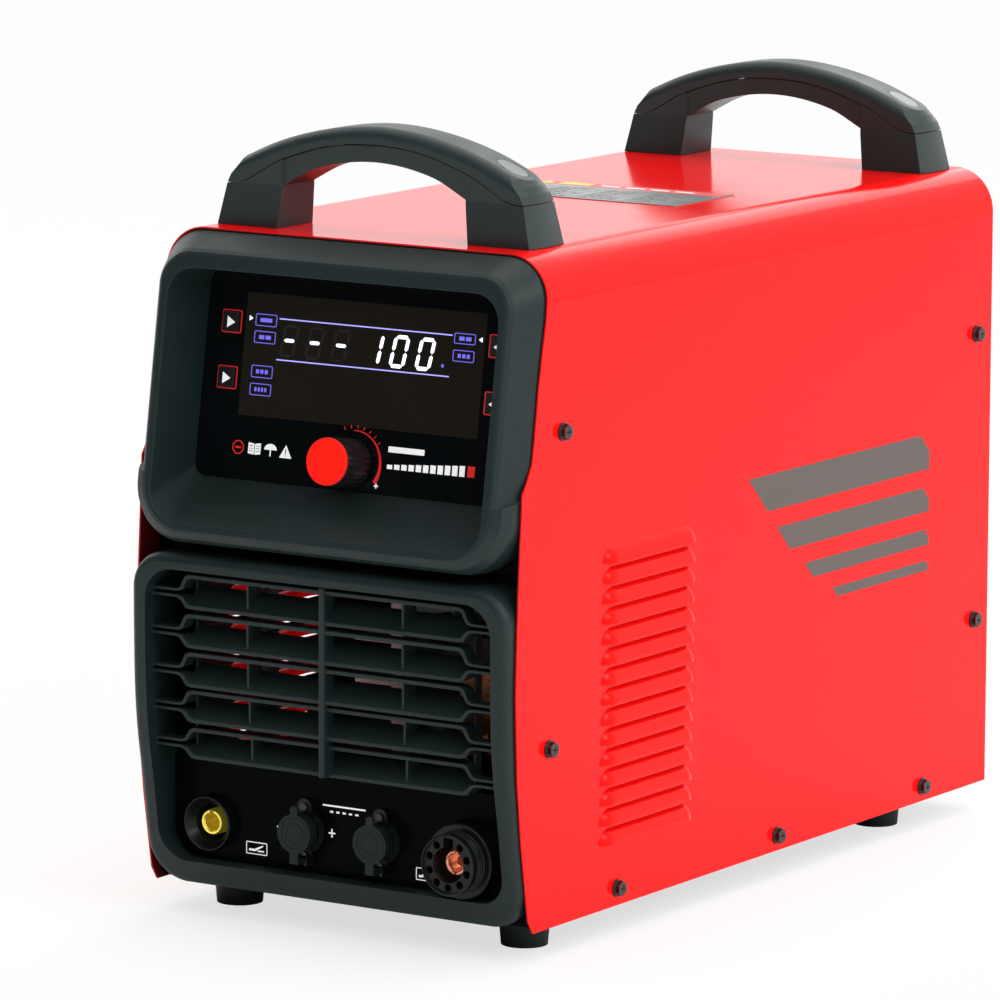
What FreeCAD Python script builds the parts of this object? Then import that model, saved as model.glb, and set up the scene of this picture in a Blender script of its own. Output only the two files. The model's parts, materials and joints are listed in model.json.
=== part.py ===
import FreeCAD, Part
import math
import os
import re
import Sketcher
from FreeCAD import Placement, Rotation, Vector

# Plasma cutter power source.  Millimetres, +Z up, front faces -Y, X to the right
# seen from the front.  Origin on the floor, midway between the four feet.

os.makedirs("parts", exist_ok=True)
doc = FreeCAD.newDocument("plasma_cutter")
sheet = doc.addObject("Spreadsheet::Sheet", "dims")

CELLS = [
    ("case_w", 240.0, "outside width of the cover"),
    ("case_top", 367.0, "height of the cover's top face above the floor"),
    ("case_low", 15.6, "lower edge of the cover's sides"),
    ("case_rear", 257.0, "rear edge of the cover"),
    ("case_rad", 24.0, "bend radius between top and sides"),
    ("gauge", 1.2, "cover sheet thickness"),
    ("gap", 0.1, "general fitting gap"),
    ("tray_t", 1.5, "tray and chassis sheet thickness"),
    ("tray_z", 17.0, "underside of the tray"),
    ("tray_front", -214.0, "front edge of the tray"),
    ("tray_rear", 251.0, "rear edge of the tray"),
    ("lip_x", 118.7, "outside half width of the tray and rear panel lips"),
    ("lip_top", 40.0, "top of the tray lips"),
    ("foot_x", 91.0, "feet off centre, sideways"),
    ("foot_y", 183.0, "feet off centre, lengthways"),
    ("foot_low", 12.4, "foot radius at the floor"),
    ("foot_up", 13.9, "foot radius at the tray"),
    ("chas_y", -217.0, "front face of the socket plate"),
    ("chas_x", 118.7, "half width of the chassis lips"),
    ("chas_top", 222.0, "top of the socket plate"),
    ("tilt", 9.0, "lean of the control head, degrees"),
    ("head_y", -209.1, "knob axis on the control panel, lengthways"),
    ("head_z", 250.0, "knob axis on the control panel, height"),
    ("rim_d", 33.6, "bezel rim in front of the panel"),
    ("bezel_w", 118.5, "half width of the upper bezel inside the cover"),
    ("crest_w", 111.2, "half width of the upper bezel crest"),
    ("mouth_w", 104.0, "half width of the upper recess mouth"),
    ("floor_w", 100.0, "half width of the recess at the panel"),
    ("skin", 2.5, "moulding wall thickness"),
    ("panel_t", 2.0, "control panel thickness"),
    ("panel_w", 106.0, "control panel half width"),
    ("panel_lo", -19.0, "control panel lower edge along its slope"),
    ("panel_hi", 99.0, "control panel upper edge along its slope"),
    ("win_w", 75.5, "display window half width"),
    ("win_lo", 18.9, "display window lower edge along the slope"),
    ("win_hi", 84.0, "display window upper edge along the slope"),
    ("key_w", 10.2, "key width"),
    ("key_l", 10.4, "key height"),
    ("key_x", 84.4, "keys off centre"),
    ("key_up", 67.4, "upper keys along the slope"),
    ("key_dn", 37.8, "lower keys along the slope"),
    ("key_out", 1.2, "keys proud of the panel"),
    ("knob_r_out", 12.7, "knob radius"),
    ("knob_len", 25.0, "knob front above the panel"),
    ("shaft_r", 3.0, "encoder shaft radius"),
    ("low_w", 118.5, "lower bezel half width"),
    ("low_bottom", 17.0, "lower bezel lower edge"),
    ("low_top", 198.0, "lower bezel upper edge"),
    ("open_w", 109.0, "lower bezel opening half width"),
    ("open_bottom", 30.0, "lower bezel opening bottom"),
    ("open_top", 189.5, "lower bezel opening top"),
    ("bar_t", 2.0, "grille bar thickness"),
    ("earth_x", -84.5, "earth socket off centre"),
    ("earth_z", 50.0, "earth socket height"),
    ("cnc_x", 24.0, "interface sockets off centre"),
    ("cnc_z", 52.7, "interface socket height"),
    ("torch_x", 79.5, "torch socket off centre"),
    ("torch_z", 50.3, "torch socket height"),
    ("handle_front", -175.5, "front handle centre"),
    ("handle_rear", 229.0, "rear handle centre"),
    ("handle_t", 14.6, "handle half thickness at the seam"),
    ("rear_y", 255.0, "rear face of the rear panel"),
    ("fan_z", 105.0, "fan axis height"),
    ("fan_half", 60.0, "fan half size"),
    ("fan_bore", 58.0, "fan duct radius"),
    ("switch_x", 62.0, "mains switch off centre"),
    ("switch_z", 305.0, "mains switch height"),
    ("gland_x", 64.0, "cable gland off centre"),
    ("gland_z", 225.0, "cable gland height"),
    ("reg_x", -52.0, "air regulator off centre"),
    ("reg_y", 303.0, "air regulator centre, lengthways"),
    ("reg_z", 262.0, "air regulator body centre height"),
    ("shelf_z", 206.0, "inner shelf height"),
]
ALIASES = {cell[0] for cell in CELLS}
for row, (alias, value, note) in enumerate(CELLS, 1):
    sheet.set("A%d" % row, note)
    sheet.set("B%d" % row, str(value))
    sheet.setAlias("B%d" % row, alias)
doc.recompute()


# ---- expressions ----------------------------------------------------------------

def size(alias):
    """present number of a cell"""
    return float(sheet.get(alias))


def bound(text):
    """expression for a number or a text of aliases and numbers"""
    def cell(word):
        return "dims." + word.group() if word.group() in ALIASES else word.group()
    return re.sub(r"[a-z_][a-z0-9_]*", cell, str(text))


def off(place, step):
    return "%s + %g" % (place, step)


def about(centre, half):
    """lower and upper bound of a centred span"""
    return "%s - (%s)" % (centre, half), "%s + (%s)" % (centre, half)


def both(alias):
    return alias, "-" + alias


def span(side, near, far):
    """ordered x bounds of something from near to far off centre, on one side"""
    return sorted((side * near, side * far))


# ---- parametric pieces ------------------------------------------------------------

# rotations that carry local Z to the named axis
TURN = {"z": Rotation(), "x": Rotation(Vector(0, 1, 0), 90), "y": Rotation(Vector(1, 0, 0), -90),
        "-y": Rotation(Vector(1, 0, 0), 90), "-x": Rotation(Vector(0, 1, 0), -90)}
SIDES = (1, -1)
CORNERS = [(x, z) for x in SIDES for z in SIDES]
nodes = []
shared = {}


def put(thing, x, y, z, rotation):
    thing.Placement = Placement(Vector(), rotation)
    for axis, place in zip("xyz", (x, y, z)):
        thing.setExpression("Placement.Base." + axis, bound(place))
    return thing


def primitive(kind, x, y, z, axis, **sizes):
    thing = doc.addObject("Part::" + kind, kind)
    for name, text in sizes.items():
        thing.setExpression(name, bound(text))
    return put(thing, x, y, z, TURN[axis])


def box(x0, x1, y0, y1, z0, z1):
    return primitive("Box", x0, y0, z0, "z", Length="(%s) - (%s)" % (x1, x0),
                     Width="(%s) - (%s)" % (y1, y0), Height="(%s) - (%s)" % (z1, z0))


def cyl(x, y, z, radius, length, axis="z"):
    return primitive("Cylinder", x, y, z, axis, Radius=radius, Height=length)


def cone(x, y, z, radius1, radius2, length, axis="z"):
    return primitive("Cone", x, y, z, axis, Radius1=radius1, Radius2=radius2, Height=length)


def hexagon(x, y, z, flats, length, axis="z"):
    """hexagonal prism, flats is its size across flats"""
    prism = primitive("Prism", x, y, z, axis, Circumradius="(%s) / 1.7320508" % flats,
                      Height=length)
    prism.Polygon = 6
    return prism


def torus(x, y, z, ring, wire, axis="z"):
    return primitive("Torus", x, y, z, axis, Radius1=ring, Radius2=wire)


def fuse(*things):
    if len(things) == 1:
        return things[0]
    union = doc.addObject("Part::MultiFuse", "union")
    union.Shapes = list(things)
    return union


def cut(base, *tools):
    result = doc.addObject("Part::Cut", "cut")
    result.Base = base
    result.Tool = fuse(*tools)
    return result


def group(*things):
    compound = doc.addObject("Part::Compound", "group")
    compound.Links = list(things)
    return compound


def raw(shape):
    feature = doc.addObject("Part::Feature", "formed")
    feature.Shape = shape
    return feature


def node(label, thing):
    thing.Label = label
    nodes.append(thing)


def share(label, *things):
    """pieces of one kind, kept as separate solids of one node"""
    shared.setdefault(label, []).extend(things)


def lips(half, y0, y1, z0, z1):
    """right and left upright strips of tray sheet, outer faces at half"""
    return [box("%s - tray_t" % half, half, y0, y1, z0, z1),
            box("-%s" % half, "-%s + tray_t" % half, y0, y1, z0, z1)]


def four_rods(pattern, y, radius, length):
    """cylinders towards the rear on the corners of a square (x, z, half pitch)"""
    x, z, pitch = pattern
    return [cyl(off(x, sx * pitch), y, off(z, sz * pitch), radius, length, "y")
            for sx, sz in CORNERS]


def front_rod(x, ahead, z, radius, length):
    """cylinder towards the front, starting ahead of the socket plate's face"""
    return cyl(x, off("chas_y", -ahead), z, radius, length, "-y")


# ---- sketched bodies --------------------------------------------------------------

def new_body(placement=Placement()):
    body = doc.addObject("PartDesign::Body", "body")
    body.Placement = placement
    return body


def new_sketch(body, role):
    sketch = body.newObject("Sketcher::SketchObject", "sketch")
    plane = [f for f in body.Origin.OriginFeatures if f.Role == role][0]
    sketch.AttachmentSupport = [(plane, "")]
    sketch.MapMode = "FlatFace"
    return sketch


def fix(sketch, kind, edge, point, number, text=None):
    """distance of a point from the sketch origin, bound to the text if there is one"""
    index = sketch.addConstraint(Sketcher.Constraint(kind, -1, 1, edge, point, number))
    if text is not None:
        sketch.setExpression("Constraints[%d]" % index, bound(text))


def closed_lines(sketch, points):
    """closed run of lines joined end to end, returns the index of the first"""
    first = sketch.GeometryCount
    count = len(points)
    for k in range(count):
        sketch.addGeometry(Part.LineSegment(points[k], points[(k + 1) % count]), False)
    for k in range(count):
        sketch.addConstraint(
            Sketcher.Constraint("Coincident", first + k, 2, first + (k + 1) % count, 1))
    return first


def add_rectangle(sketch, sides, start):
    """sides: expressions for left, right, low, high; start: their present numbers"""
    left, right, low, high = start
    first = closed_lines(sketch, [Vector(left, low), Vector(right, low),
                                  Vector(right, high), Vector(left, high)])
    for k, kind in enumerate(("Horizontal", "Vertical") * 2):
        sketch.addConstraint(Sketcher.Constraint(kind, first + k))
    fix(sketch, "DistanceX", first, 1, left, sides[0])
    fix(sketch, "DistanceX", first, 2, right, sides[1])
    fix(sketch, "DistanceY", first, 1, low, sides[2])
    fix(sketch, "DistanceY", first + 2, 1, high, sides[3])


def turned(points, x, y, z, rotation):
    """piece turned about its local Z; points are (radius, height)"""
    body = new_body()
    sketch = new_sketch(body, "XZ_Plane")
    closed_lines(sketch, [Vector(*point) for point in points])
    for k, (radius, height) in enumerate(points):
        fix(sketch, "DistanceX", k, 1, radius)
        fix(sketch, "DistanceY", k, 1, height)
    revolution = body.newObject("PartDesign::Revolution", "turned")
    revolution.Profile = sketch
    revolution.ReferenceAxis = (sketch, ["V_Axis"])
    revolution.Angle = 360.0
    body.Tip = revolution
    return put(body, x, y, z, rotation)


# ---- plain shapes -----------------------------------------------------------------

def rounded_wire(half, low, high, low_radius, high_radius, z):
    """rounded rectangle of half width half, from y = low to high, at height z"""
    corners = [(Vector(half - low_radius, low + low_radius, z), low_radius),
               (Vector(half - high_radius, high - high_radius, z), high_radius),
               (Vector(-half + high_radius, high - high_radius, z), high_radius),
               (Vector(-half + low_radius, low + low_radius, z), low_radius)]
    ways = [Vector(0, -1, 0), Vector(1, 0, 0), Vector(0, 1, 0), Vector(-1, 0, 0)]
    arcs = []
    for k, (centre, radius) in enumerate(corners):
        start, end = ways[k], ways[(k + 1) % 4]
        middle = (start + end) * (radius * math.sqrt(0.5))
        arcs.append((centre + start * radius, centre + middle, centre + end * radius))
    edges = []
    for k in range(4):
        edges += [Part.makeLine(arcs[k - 1][2], arcs[k][0]), Part.Arc(*arcs[k]).toShape()]
    return Part.Wire(edges)


def loft(sections):
    return Part.makeLoft([rounded_wire(*section) for section in sections], True, True)


def prism(points, step):
    return Part.Face(Part.makePolygon(points + [points[0]])).extrude(step)


def prism_y(points, y0, y1):
    """closed outline of (x, z) points carried along Y"""
    return prism([Vector(x, y0, z) for x, z in points], Vector(0, y1 - y0, 0))


def prism_x(points, x0, x1):
    """closed outline of (y, z) points carried along X"""
    return prism([Vector(x0, y, z) for y, z in points], Vector(x1 - x0, 0, 0))


def spline(points):
    curve = Part.BSplineCurve()
    curve.interpolate(points)
    return curve


# ---- cover --------------------------------------------------------------------------

# (y, z) of the cover's front edge, bottom to top
FRONT_EDGE = [
    (-217.0, 10.0), (-219.5, 15.4), (-224.3, 22.9), (-230.9, 63.5), (-235.1, 98.1),
    (-236.8, 141.7), (-235.6, 177.0), (-233.0, 219.1), (-231.3, 246.8), (-227.0, 252.9),
    (-222.3, 261.4), (-220.0, 273.7), (-216.3, 299.6), (-212.4, 319.8), (-209.2, 334.9),
    (-207.6, 351.7), (-207.0, 366.9), (-207.0, 372.0)]
# (y, z) of the side screws, by the sheet part they enter
CHASSIS_SCREWS = [(-193.6, 275.0), (-205.3, 110.6)]
TRAY_SCREWS = [(-138.4, 25.0), (25.3, 24.2), (184.3, 24.2)]
REAR_SCREWS = [(239.7, 275.3), (240.6, 111.3)]
SIDE_SCREWS = CHASSIS_SCREWS + TRAY_SCREWS + REAR_SCREWS
HANDLE_BOLTS = [(x, y) for x in (-76.0, 76.0) for y in ("handle_front", "handle_rear")]
HALF = size("case_w") / 2.0
GAUGE = size("gauge")
TOP = size("case_top")
WRAP_LENGTH = 500.0


def wrap_points(half, top, radius):
    """inverted U from the right lower end over the top to the left lower end"""
    bend = radius * (1 - math.sqrt(0.5))
    right = [Vector(half, size("case_low")), Vector(half, top - radius),
             Vector(half - bend, top - bend), Vector(half - radius, top)]
    return right + [Vector(-p.x, p.y) for p in reversed(right)]


def side_holes(screws, radius=2.5):
    """holes through both sides"""
    return [cyl(-130, y, z, radius, 260, "x") for y, z in screws]


def wrap_body():
    """bent sheet, longer than the cover at the front"""
    body = new_body()
    sketch = new_sketch(body, "XZ_Plane")
    outside = wrap_points(HALF, TOP, size("case_rad"))
    inside = wrap_points(HALF - GAUGE, TOP - GAUGE, size("case_rad") - GAUGE)
    for p in (outside, inside):
        for piece in (Part.LineSegment(p[0], p[1]), Part.Arc(p[1], p[2], p[3]),
                      Part.LineSegment(p[3], p[4]), Part.Arc(p[4], p[5], p[6]),
                      Part.LineSegment(p[6], p[7])):
            sketch.addGeometry(piece, False)
    for end in (0, 7):
        sketch.addGeometry(Part.LineSegment(outside[end], inside[end]), False)
    fix(sketch, "DistanceY", 2, 1, TOP, "case_top")
    fix(sketch, "DistanceY", 0, 1, size("case_low"), "case_low")
    fix(sketch, "DistanceX", 0, 1, HALF, "case_w / 2")
    pad = body.newObject("PartDesign::Pad", "wrap")
    pad.Profile = sketch
    pad.Length = WRAP_LENGTH
    pad.Reversed = True
    body.setExpression("Placement.Base.y", bound("case_rear - %g" % WRAP_LENGTH))
    body.Tip = pad
    return body


HOOD_RADIUS = 10.4
HOOD_PROUD = 4.3
HOOD_END = 8.4        # from a hood's end to its end sphere's centre


def hoods(radius, wall):
    """rows of round-ended bars along the sides, only their upper part outside the wall"""
    bars = []
    for side in SIDES:
        x = side * (HALF + HOOD_PROUD - HOOD_RADIUS)
        for k in range(15):
            z = 50.2 + 10.7 * k
            front, rear = -156.2 + 0.18 * k + HOOD_END, -65.7 + 0.2 * k - HOOD_END
            bar = Part.makeCylinder(radius, rear - front, Vector(x, front, z), Vector(0, 1, 0))
            ends = [Part.makeSphere(radius, Vector(x, y, z)) for y in (front, rear)]
            zone = Part.makeBox(20, 200, 20, Vector(span(side, wall, wall + 20)[0], -196.2, z))
            bars.append(bar.fuse(ends).common(zone))
    return raw(Part.makeCompound(bars))


wrap = wrap_body()
front_trim = raw(prism_x([(-300, 400), (-300, 5)] + FRONT_EDGE + [(-207.0, 400)], -130, 130))
node("outer_cover", cut(
    fuse(cut(wrap, front_trim), hoods(HOOD_RADIUS, HALF - 0.9)),
    hoods(HOOD_RADIUS - GAUGE, HALF - 1.6), *side_holes(SIDE_SCREWS, 2.6),
    *[cyl(x, y, 350, 3.3, 30) for x, y in HANDLE_BOLTS]))

# ---- tray ---------------------------------------------------------------------------

FEET = [(x, y) for x in both("foot_x") for y in both("foot_y")]
TRAY_FLOOR = "tray_z + tray_t"
node("base_tray", cut(
    fuse(box("-lip_x", "lip_x", "tray_front", "tray_rear", "tray_z", TRAY_FLOOR),
         *lips("lip_x", "tray_front + 14", "tray_rear", "tray_z", "lip_top"),
         *[box(*about(x, 5), 0, 170, TRAY_FLOOR, TRAY_FLOOR + " + 2.5") for x in (-55, 55)]),
    *[cyl(x, y, "tray_z - 2", 2.6, 8) for x, y in FEET], *side_holes(TRAY_SCREWS)))

# ---- front chassis --------------------------------------------------------------------

PORT_SCREWS = about("cnc_z", 13)


def plate_hole(x, z, radius):
    return cyl(x, "chas_y - 2", z, radius, 6, "y")


node("front_chassis", cut(
    fuse(box("-chas_x", "chas_x", "chas_y", "chas_y + tray_t", 19, "chas_top"),
         box(-100, 100, "chas_y + tray_t", "chas_y + 18", 19, 20.5),
         *lips("chas_x", "chas_y", -180, 41, "chas_top"),
         *lips("chas_x", -204, -180, "chas_top", 292)),
    box(-101, 101, "chas_y - 1", "chas_y + 3", 85, 188),
    plate_hole("earth_x", "earth_z", 12.0), plate_hole("torch_x", "torch_z", 15.0),
    *[plate_hole(x, "cnc_z", 8.2) for x in both("cnc_x")],
    *[plate_hole(x, z, 1.3) for x in both("cnc_x") for z in PORT_SCREWS],
    *side_holes(CHASSIS_SCREWS)))

# ---- rear panel -------------------------------------------------------------------------

INNER = "rear_y - tray_t"                     # inner, front face of the rear panel
PANEL_TOP = "case_top - gauge - gap - 1"
FAN_SCREWS = (0, "fan_z", 52.5)
SWITCH_SCREWS = ("switch_x", "switch_z", 18)
BRACKET_SCREWS = [off("reg_x", dx) for dx in (-14, 14)]


def panel_hole(x, z, radius):
    return cyl(x, "rear_y - 5", z, radius, 10, "y")


def corner_waste(side):
    """material outside the panel's rounded upper corner"""
    return cut(box(*span(side, 89, 149), 220, 260, 330, 380),
               cyl(side * 95.0, 219, 342.0, 22.5, 42, "y"),
               box(*span(side, 65, 95), 219, 261, 329, 381),
               box(-130, 130, 219, 261, 320, 342))


node("rear_panel", cut(
    fuse(box("-lip_x", "lip_x", INNER, "rear_y", 19, PANEL_TOP),
         box(-92, 92, 232, "rear_y", PANEL_TOP + " - 1.5", PANEL_TOP),
         box(-100, 100, 236, "rear_y", 19, 20.5),
         *lips("lip_x", 226, "rear_y", 42, 342)),
    panel_hole(0, "fan_z", "fan_bore"), panel_hole("switch_x", "switch_z", 15.0),
    panel_hole("gland_x", "gland_z", 12.6), panel_hole("reg_x + 34", "reg_z", 5.6),
    *four_rods(FAN_SCREWS, "rear_y - 5", 2.2, 10),
    *four_rods(SWITCH_SCREWS, "rear_y - 5", 2.2, 10),
    *[panel_hole(x, "reg_z + 31", 2.2) for x in BRACKET_SCREWS],
    *[corner_waste(side) for side in SIDES],
    *side_holes(REAR_SCREWS),
    *[cyl(x, "handle_rear", 350, 3.3, 30) for x in (-76, 76)]))

# ---- inner shelf ------------------------------------------------------------------------

DECK = "shelf_z + tray_t"
node("inner_shelf", cut(
    fuse(box(-114, 114, -150, 205, "shelf_z", DECK),
         *lips(114, -150, 205, "shelf_z - 14", "shelf_z"),
         *[box(x, x + 10, y, y + 10, TRAY_FLOOR + " + 0.05", "shelf_z + 0.5")
           for x, y in ((-108, -146), (98, -146), (-102, 194), (92, 194))]),
    box(-20, 20, 60, 160, "shelf_z - 1", "shelf_z + 4")))

# ---- feet and side screws -----------------------------------------------------------------

node("rubber_feet", group(*[
    cut(cone(x, y, 0, "foot_low", "foot_up", "tray_z"),
        cyl(x, y, -1, 5.2, 8.5), cyl(x, y, 5, 2.7, 14)) for x, y in FEET]))
for x, y in FEET:
    share("case_screws", fuse(cyl(x, y, 4.6, 4.4, 2.9), cyl(x, y, 7, 2.4, 17)))
    share("hex_nuts", cut(hexagon(x, y, TRAY_FLOOR, 8.0, 3.5), cyl(x, y, "tray_z", 2.45, 8)))


def side_screw(side, y, z):
    """flanged hexagon head with a cross slot"""
    axis = "x" if side > 0 else "-x"
    seat = side * (HALF + 0.02)
    slot = about(seat + side * 3.0, 1.2)
    return cut(fuse(cyl(seat, y, z, 4.8, 1.0, axis), hexagon(seat, y, z, 7.2, 3.9, axis),
                    cyl(side * (HALF - 8), y, z, 2.35, 8.5, axis)),
               box(*slot, *about(y, 2.3), *about(z, 0.4)),
               box(*slot, *about(y, 0.4), *about(z, 2.3)))


share("case_screws", *[side_screw(side, y, z) for side in SIDES for y, z in SIDE_SCREWS])

# ---- control head -----------------------------------------------------------------------
# Head frame: origin where the knob axis meets the panel, Y up the slope, Z out to the front.

HEAD = Placement(Vector(0, size("head_y"), size("head_z")),
                 Rotation(Vector(1, 0, 0), 90.0 - size("tilt")))


def in_head(thing):
    thing.Placement = HEAD.multiply(thing.Placement)
    return thing


def upper_bezel():
    """hollow frame round a recess; section columns as for rounded_wire"""
    wide, crest, skin, rim = size("bezel_w"), size("crest_w"), size("skin"), size("rim_d")
    mouth_w, floor_w = size("mouth_w"), size("floor_w")
    inner_w, inner_top = wide - skin, 114.2 - skin
    back_end = (wide, -49.0, 114.2, 30, 22.6, 8.0)
    front_end = (107.6, -44.0, 100.8, 25, 17, rim)
    outer = loft([back_end,
                  (wide, -50.2, 114.2, 30, 22.6, 16.0),
                  (crest, -47.4, 104.4, 28, 20, 31.0),
                  (109.2, -45.6, 102.4, 26, 18, 33.0),
                  front_end])
    cheek = loft([back_end,
                  (wide, -50.4, 114.2, 30, 22.6, 18.0),
                  (117.6, -50.2, 112.0, 29.5, 22, 25.0),
                  (114.4, -48.2, 107.0, 28.5, 20, 30.5),
                  (109.6, -45.6, 102.4, 26, 18, 33.0),
                  front_end])
    # the fuller cheeks only apply to the lower part of the frame
    cheek_zone = prism_x([(-60.0, -5.0), (-60.0, 40.0), (-14.5, 40.0), (-14.5, 31.0),
                          (-8.0, 16.0), (-8.0, -5.0)], -130, 130)
    outer = outer.fuse(cheek.common(cheek_zone))
    mouth = loft([(floor_w, -15.2, 95.0, 7, 8, -1.0),
                  (floor_w, -15.2, 95.0, 7, 8, 0.0),
                  (mouth_w, -40.1, 93.9, 17, 16, rim),
                  (mouth_w, -40.1, 93.9, 17, 16, rim + 2)])
    recess_wall = loft([(floor_w + skin, -15.2 - skin, 95.0 + skin, 8, 9, 0.0),
                        (mouth_w + skin, -40.1 - skin, 93.9 + skin, 18, 17, rim - 0.6)])
    hollow = loft([(inner_w, -49.0 + skin, inner_top, 28, 20.6, 7.0),
                   (inner_w, -50.2 + skin, inner_top, 28, 20.6, 16.0),
                   (crest - skin, -47.4 + skin, 104.4 - skin, 26, 18, 29.0)])
    return outer.cut(hollow).fuse(recess_wall).cut(mouth).removeSplitter()


bezel = raw(upper_bezel())
bezel.Placement = HEAD
node("upper_bezel", bezel)

# label, side, cell of the row
KEYS = [("button_upper_left", "-key_x", "key_up"), ("button_lower_left", "-key_x", "key_dn"),
        ("button_upper_right", "key_x", "key_up"), ("button_lower_right", "key_x", "key_dn")]


def head_plate():
    """body and empty sketch just behind the head's zero plane"""
    body = new_body(HEAD.multiply(Placement(Vector(0, 0, -0.05), Rotation())))
    return body, new_sketch(body, "XY_Plane")


def pad_back(body, sketch):
    pad = body.newObject("PartDesign::Pad", "pad")
    pad.Profile = sketch
    pad.setExpression("Length", bound("panel_t"))
    pad.Reversed = True
    body.Tip = pad
    return body


def control_panel():
    body, sketch = head_plate()
    for part in ("panel", "win"):
        width, low, high = (part + end for end in ("_w", "_lo", "_hi"))
        add_rectangle(sketch, ("-" + width, width, low, high),
                      (-size(width), size(width), size(low), size(high)))
    half_w, half_l = size("key_w") / 2 + 0.2, size("key_l") / 2 + 0.2
    for _, column, key_row in KEYS:
        x = size("key_x") * (-1 if column.startswith("-") else 1)
        y = size(key_row)
        add_rectangle(sketch,
                      about(column, "key_w / 2 + 0.2") + about(key_row, "key_l / 2 + 0.2"),
                      (x - half_w, x + half_w, y - half_l, y + half_l))
    bore = sketch.addGeometry(Part.Circle(Vector(), Vector(0, 0, 1), 4.65), False)
    sketch.addConstraint(Sketcher.Constraint("Radius", bore, 4.65))
    fix(sketch, "DistanceX", bore, 3, 0.0)
    fix(sketch, "DistanceY", bore, 3, 0.0)
    return pad_back(body, sketch)


def display_window():
    body, sketch = head_plate()
    gap = size("gap")
    add_rectangle(sketch, ("-win_w + gap", "win_w - gap", "win_lo + gap", "win_hi - gap"),
                  (-size("win_w") + gap, size("win_w") - gap,
                   size("win_lo") + gap, size("win_hi") - gap))
    return pad_back(body, sketch)


node("control_panel", control_panel())
node("display_window", display_window())

key_switches = []
for _, x, y in KEYS:
    key_switches += [box(*about(x, 3), *about(y, 3), -8.0, -5.2), cyl(x, y, -8.0, 1.7, 3.95)]
node("display_board", in_head(fuse(
    box(-101, 101, -12.0, 92, -9.6, -8.0),         # board
    box(-76, 76, 17.5, 85.5, -8.0, -2.2),          # display module
    box(-30, -8, -9, 0, -17, -9.6),                # connector
    *key_switches,
    *[box(x, x + 12, y, y + 9, -11.4, -9.6)
      for x, y in ((-70, 20), (-40, 55), (20, 30), (60, 60), (40, 5))],
    *[cyl(x, y, -9.6, 2.6, 7.5) for x in (-96, 96) for y in (-6, 88)])))

for label, x, y in KEYS:
    node(label, in_head(fuse(
        box(*about(x, "key_w / 2"), *about(y, "key_l / 2"), -2.4, "key_out"),
        box(*about(x, 6.2), *about(y, 6.3), -3.15, -2.3))))

# encoder, its nut and the fluted knob
node("encoder_body", in_head(cut(
    fuse(box(-6.5, 6.5, -6.5, 6.5, -7.95, -2.15), cyl(0, 0, -2.3, 4.5, 7.3)),
    cyl(0, 0, -7.0, "shaft_r + 0.05", 14))))
share("hex_nuts", in_head(cut(hexagon(0, 0, 0.05, 12.0, 2.2), cyl(0, 0, -1, 4.55, 5))))
node("encoder_shaft", in_head(cut(cyl(0, 0, -6.9, "shaft_r", 21.0),
                                  box(-5, 5, 1.6, 5, 6.0, 16))))
FLUTE_AT = size("knob_r_out") + 0.35
flutes = [cyl(FLUTE_AT * math.cos(k * math.pi / 12), FLUTE_AT * math.sin(k * math.pi / 12),
              1.0, 1.0, 19.5) for k in range(24)]
flatted_bore = cut(cyl(0, 0, 6.0, "shaft_r + 0.05", 8.3), box(-5, 5, 1.65, 5, 6.4, 15))
node("control_knob", in_head(cut(
    cyl(0, 0, 1.5, "knob_r_out", 21.6), cyl(0, 0, 1.0, 8.6, 6.0), flatted_bore,
    cyl(0, 0, 21.4, 9.0, 5), *flutes)))
node("knob_cap", in_head(fuse(
    cyl(0, 0, 21.5, 8.95, 2.2),
    cut(cyl(0, 0, 23.15, 12.4, "knob_len - 23.15"), torus(0, 0, 25.6, 12.9, 0.9)))))

# ---- lower bezel with grille ----------------------------------------------------------------

# (y, z) of the bezel's front face at the middle, bottom to top
CREST = [(-224.6, 15.0), (-229.0, 30.0), (-232.6, 45.5), (-235.9, 67.9), (-240.6, 94.9),
         (-243.6, 125.0), (-244.2, 150.0), (-244.3, 180.4), (-243.8, 200.0)]
# grille loops: bottom, top, neck bottom, neck top, front face y
LOOPS = [(168.0, 186.3, 173.7, 178.3, -237.4), (147.1, 165.3, 152.9, 157.4, -237.6),
         (126.1, 144.7, 132.2, 136.8, -237.2), (106.7, 124.1, 112.2, 116.7, -235.6),
         (86.8, 103.5, 92.2, 96.7, -233.4)]
BAR = size("bar_t")
OPEN_W = size("open_w")


def upright_block(half, low, high, low_radius, high_radius):
    """rounded rectangle in X and Z carried along Y through the bezel"""
    wire = rounded_wire(half, low, high, low_radius, high_radius, 0)
    wire.Placement = Placement(Vector(0, -260, 0), Rotation(Vector(1, 0, 0), 90))
    return Part.Face(wire).extrude(Vector(0, 60, 0))


def bezel_slab():
    """solid between the curved front and the socket plate"""
    back = size("chas_y") - 0.05
    corners = [CREST[-1], (back, 200.0), (back, 15.0), CREST[0]]
    points = [Vector(0, y, z) for y, z in corners]
    edges = [spline([Vector(0, y, z) for y, z in CREST]).toShape()]
    edges += [Part.makeLine(start, end) for start, end in zip(points, points[1:])]
    slab = Part.Face(Part.Wire(edges)).extrude(Vector(240, 0, 0))
    slab.translate(Vector(-120, 0, 0))
    return slab


def loop_outline(bottom, top, neck_low, neck_high, stations, ease, rise):
    """(x, z) outline of a grille loop; stations are the x where its outline turns"""
    x1, x2, x3, x4, x5 = stations
    half = [(0, top), (x1, top), (x2, top - ease), (x3, neck_high + rise), (x4, neck_high),
            (x5, neck_high), (x5, neck_low), (x4, neck_low), (x3, neck_low - rise),
            (x2, bottom + ease), (x1, bottom), (0, bottom)]
    return half + [(-x, z) for x, z in half[::-1][1:-1]]


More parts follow.
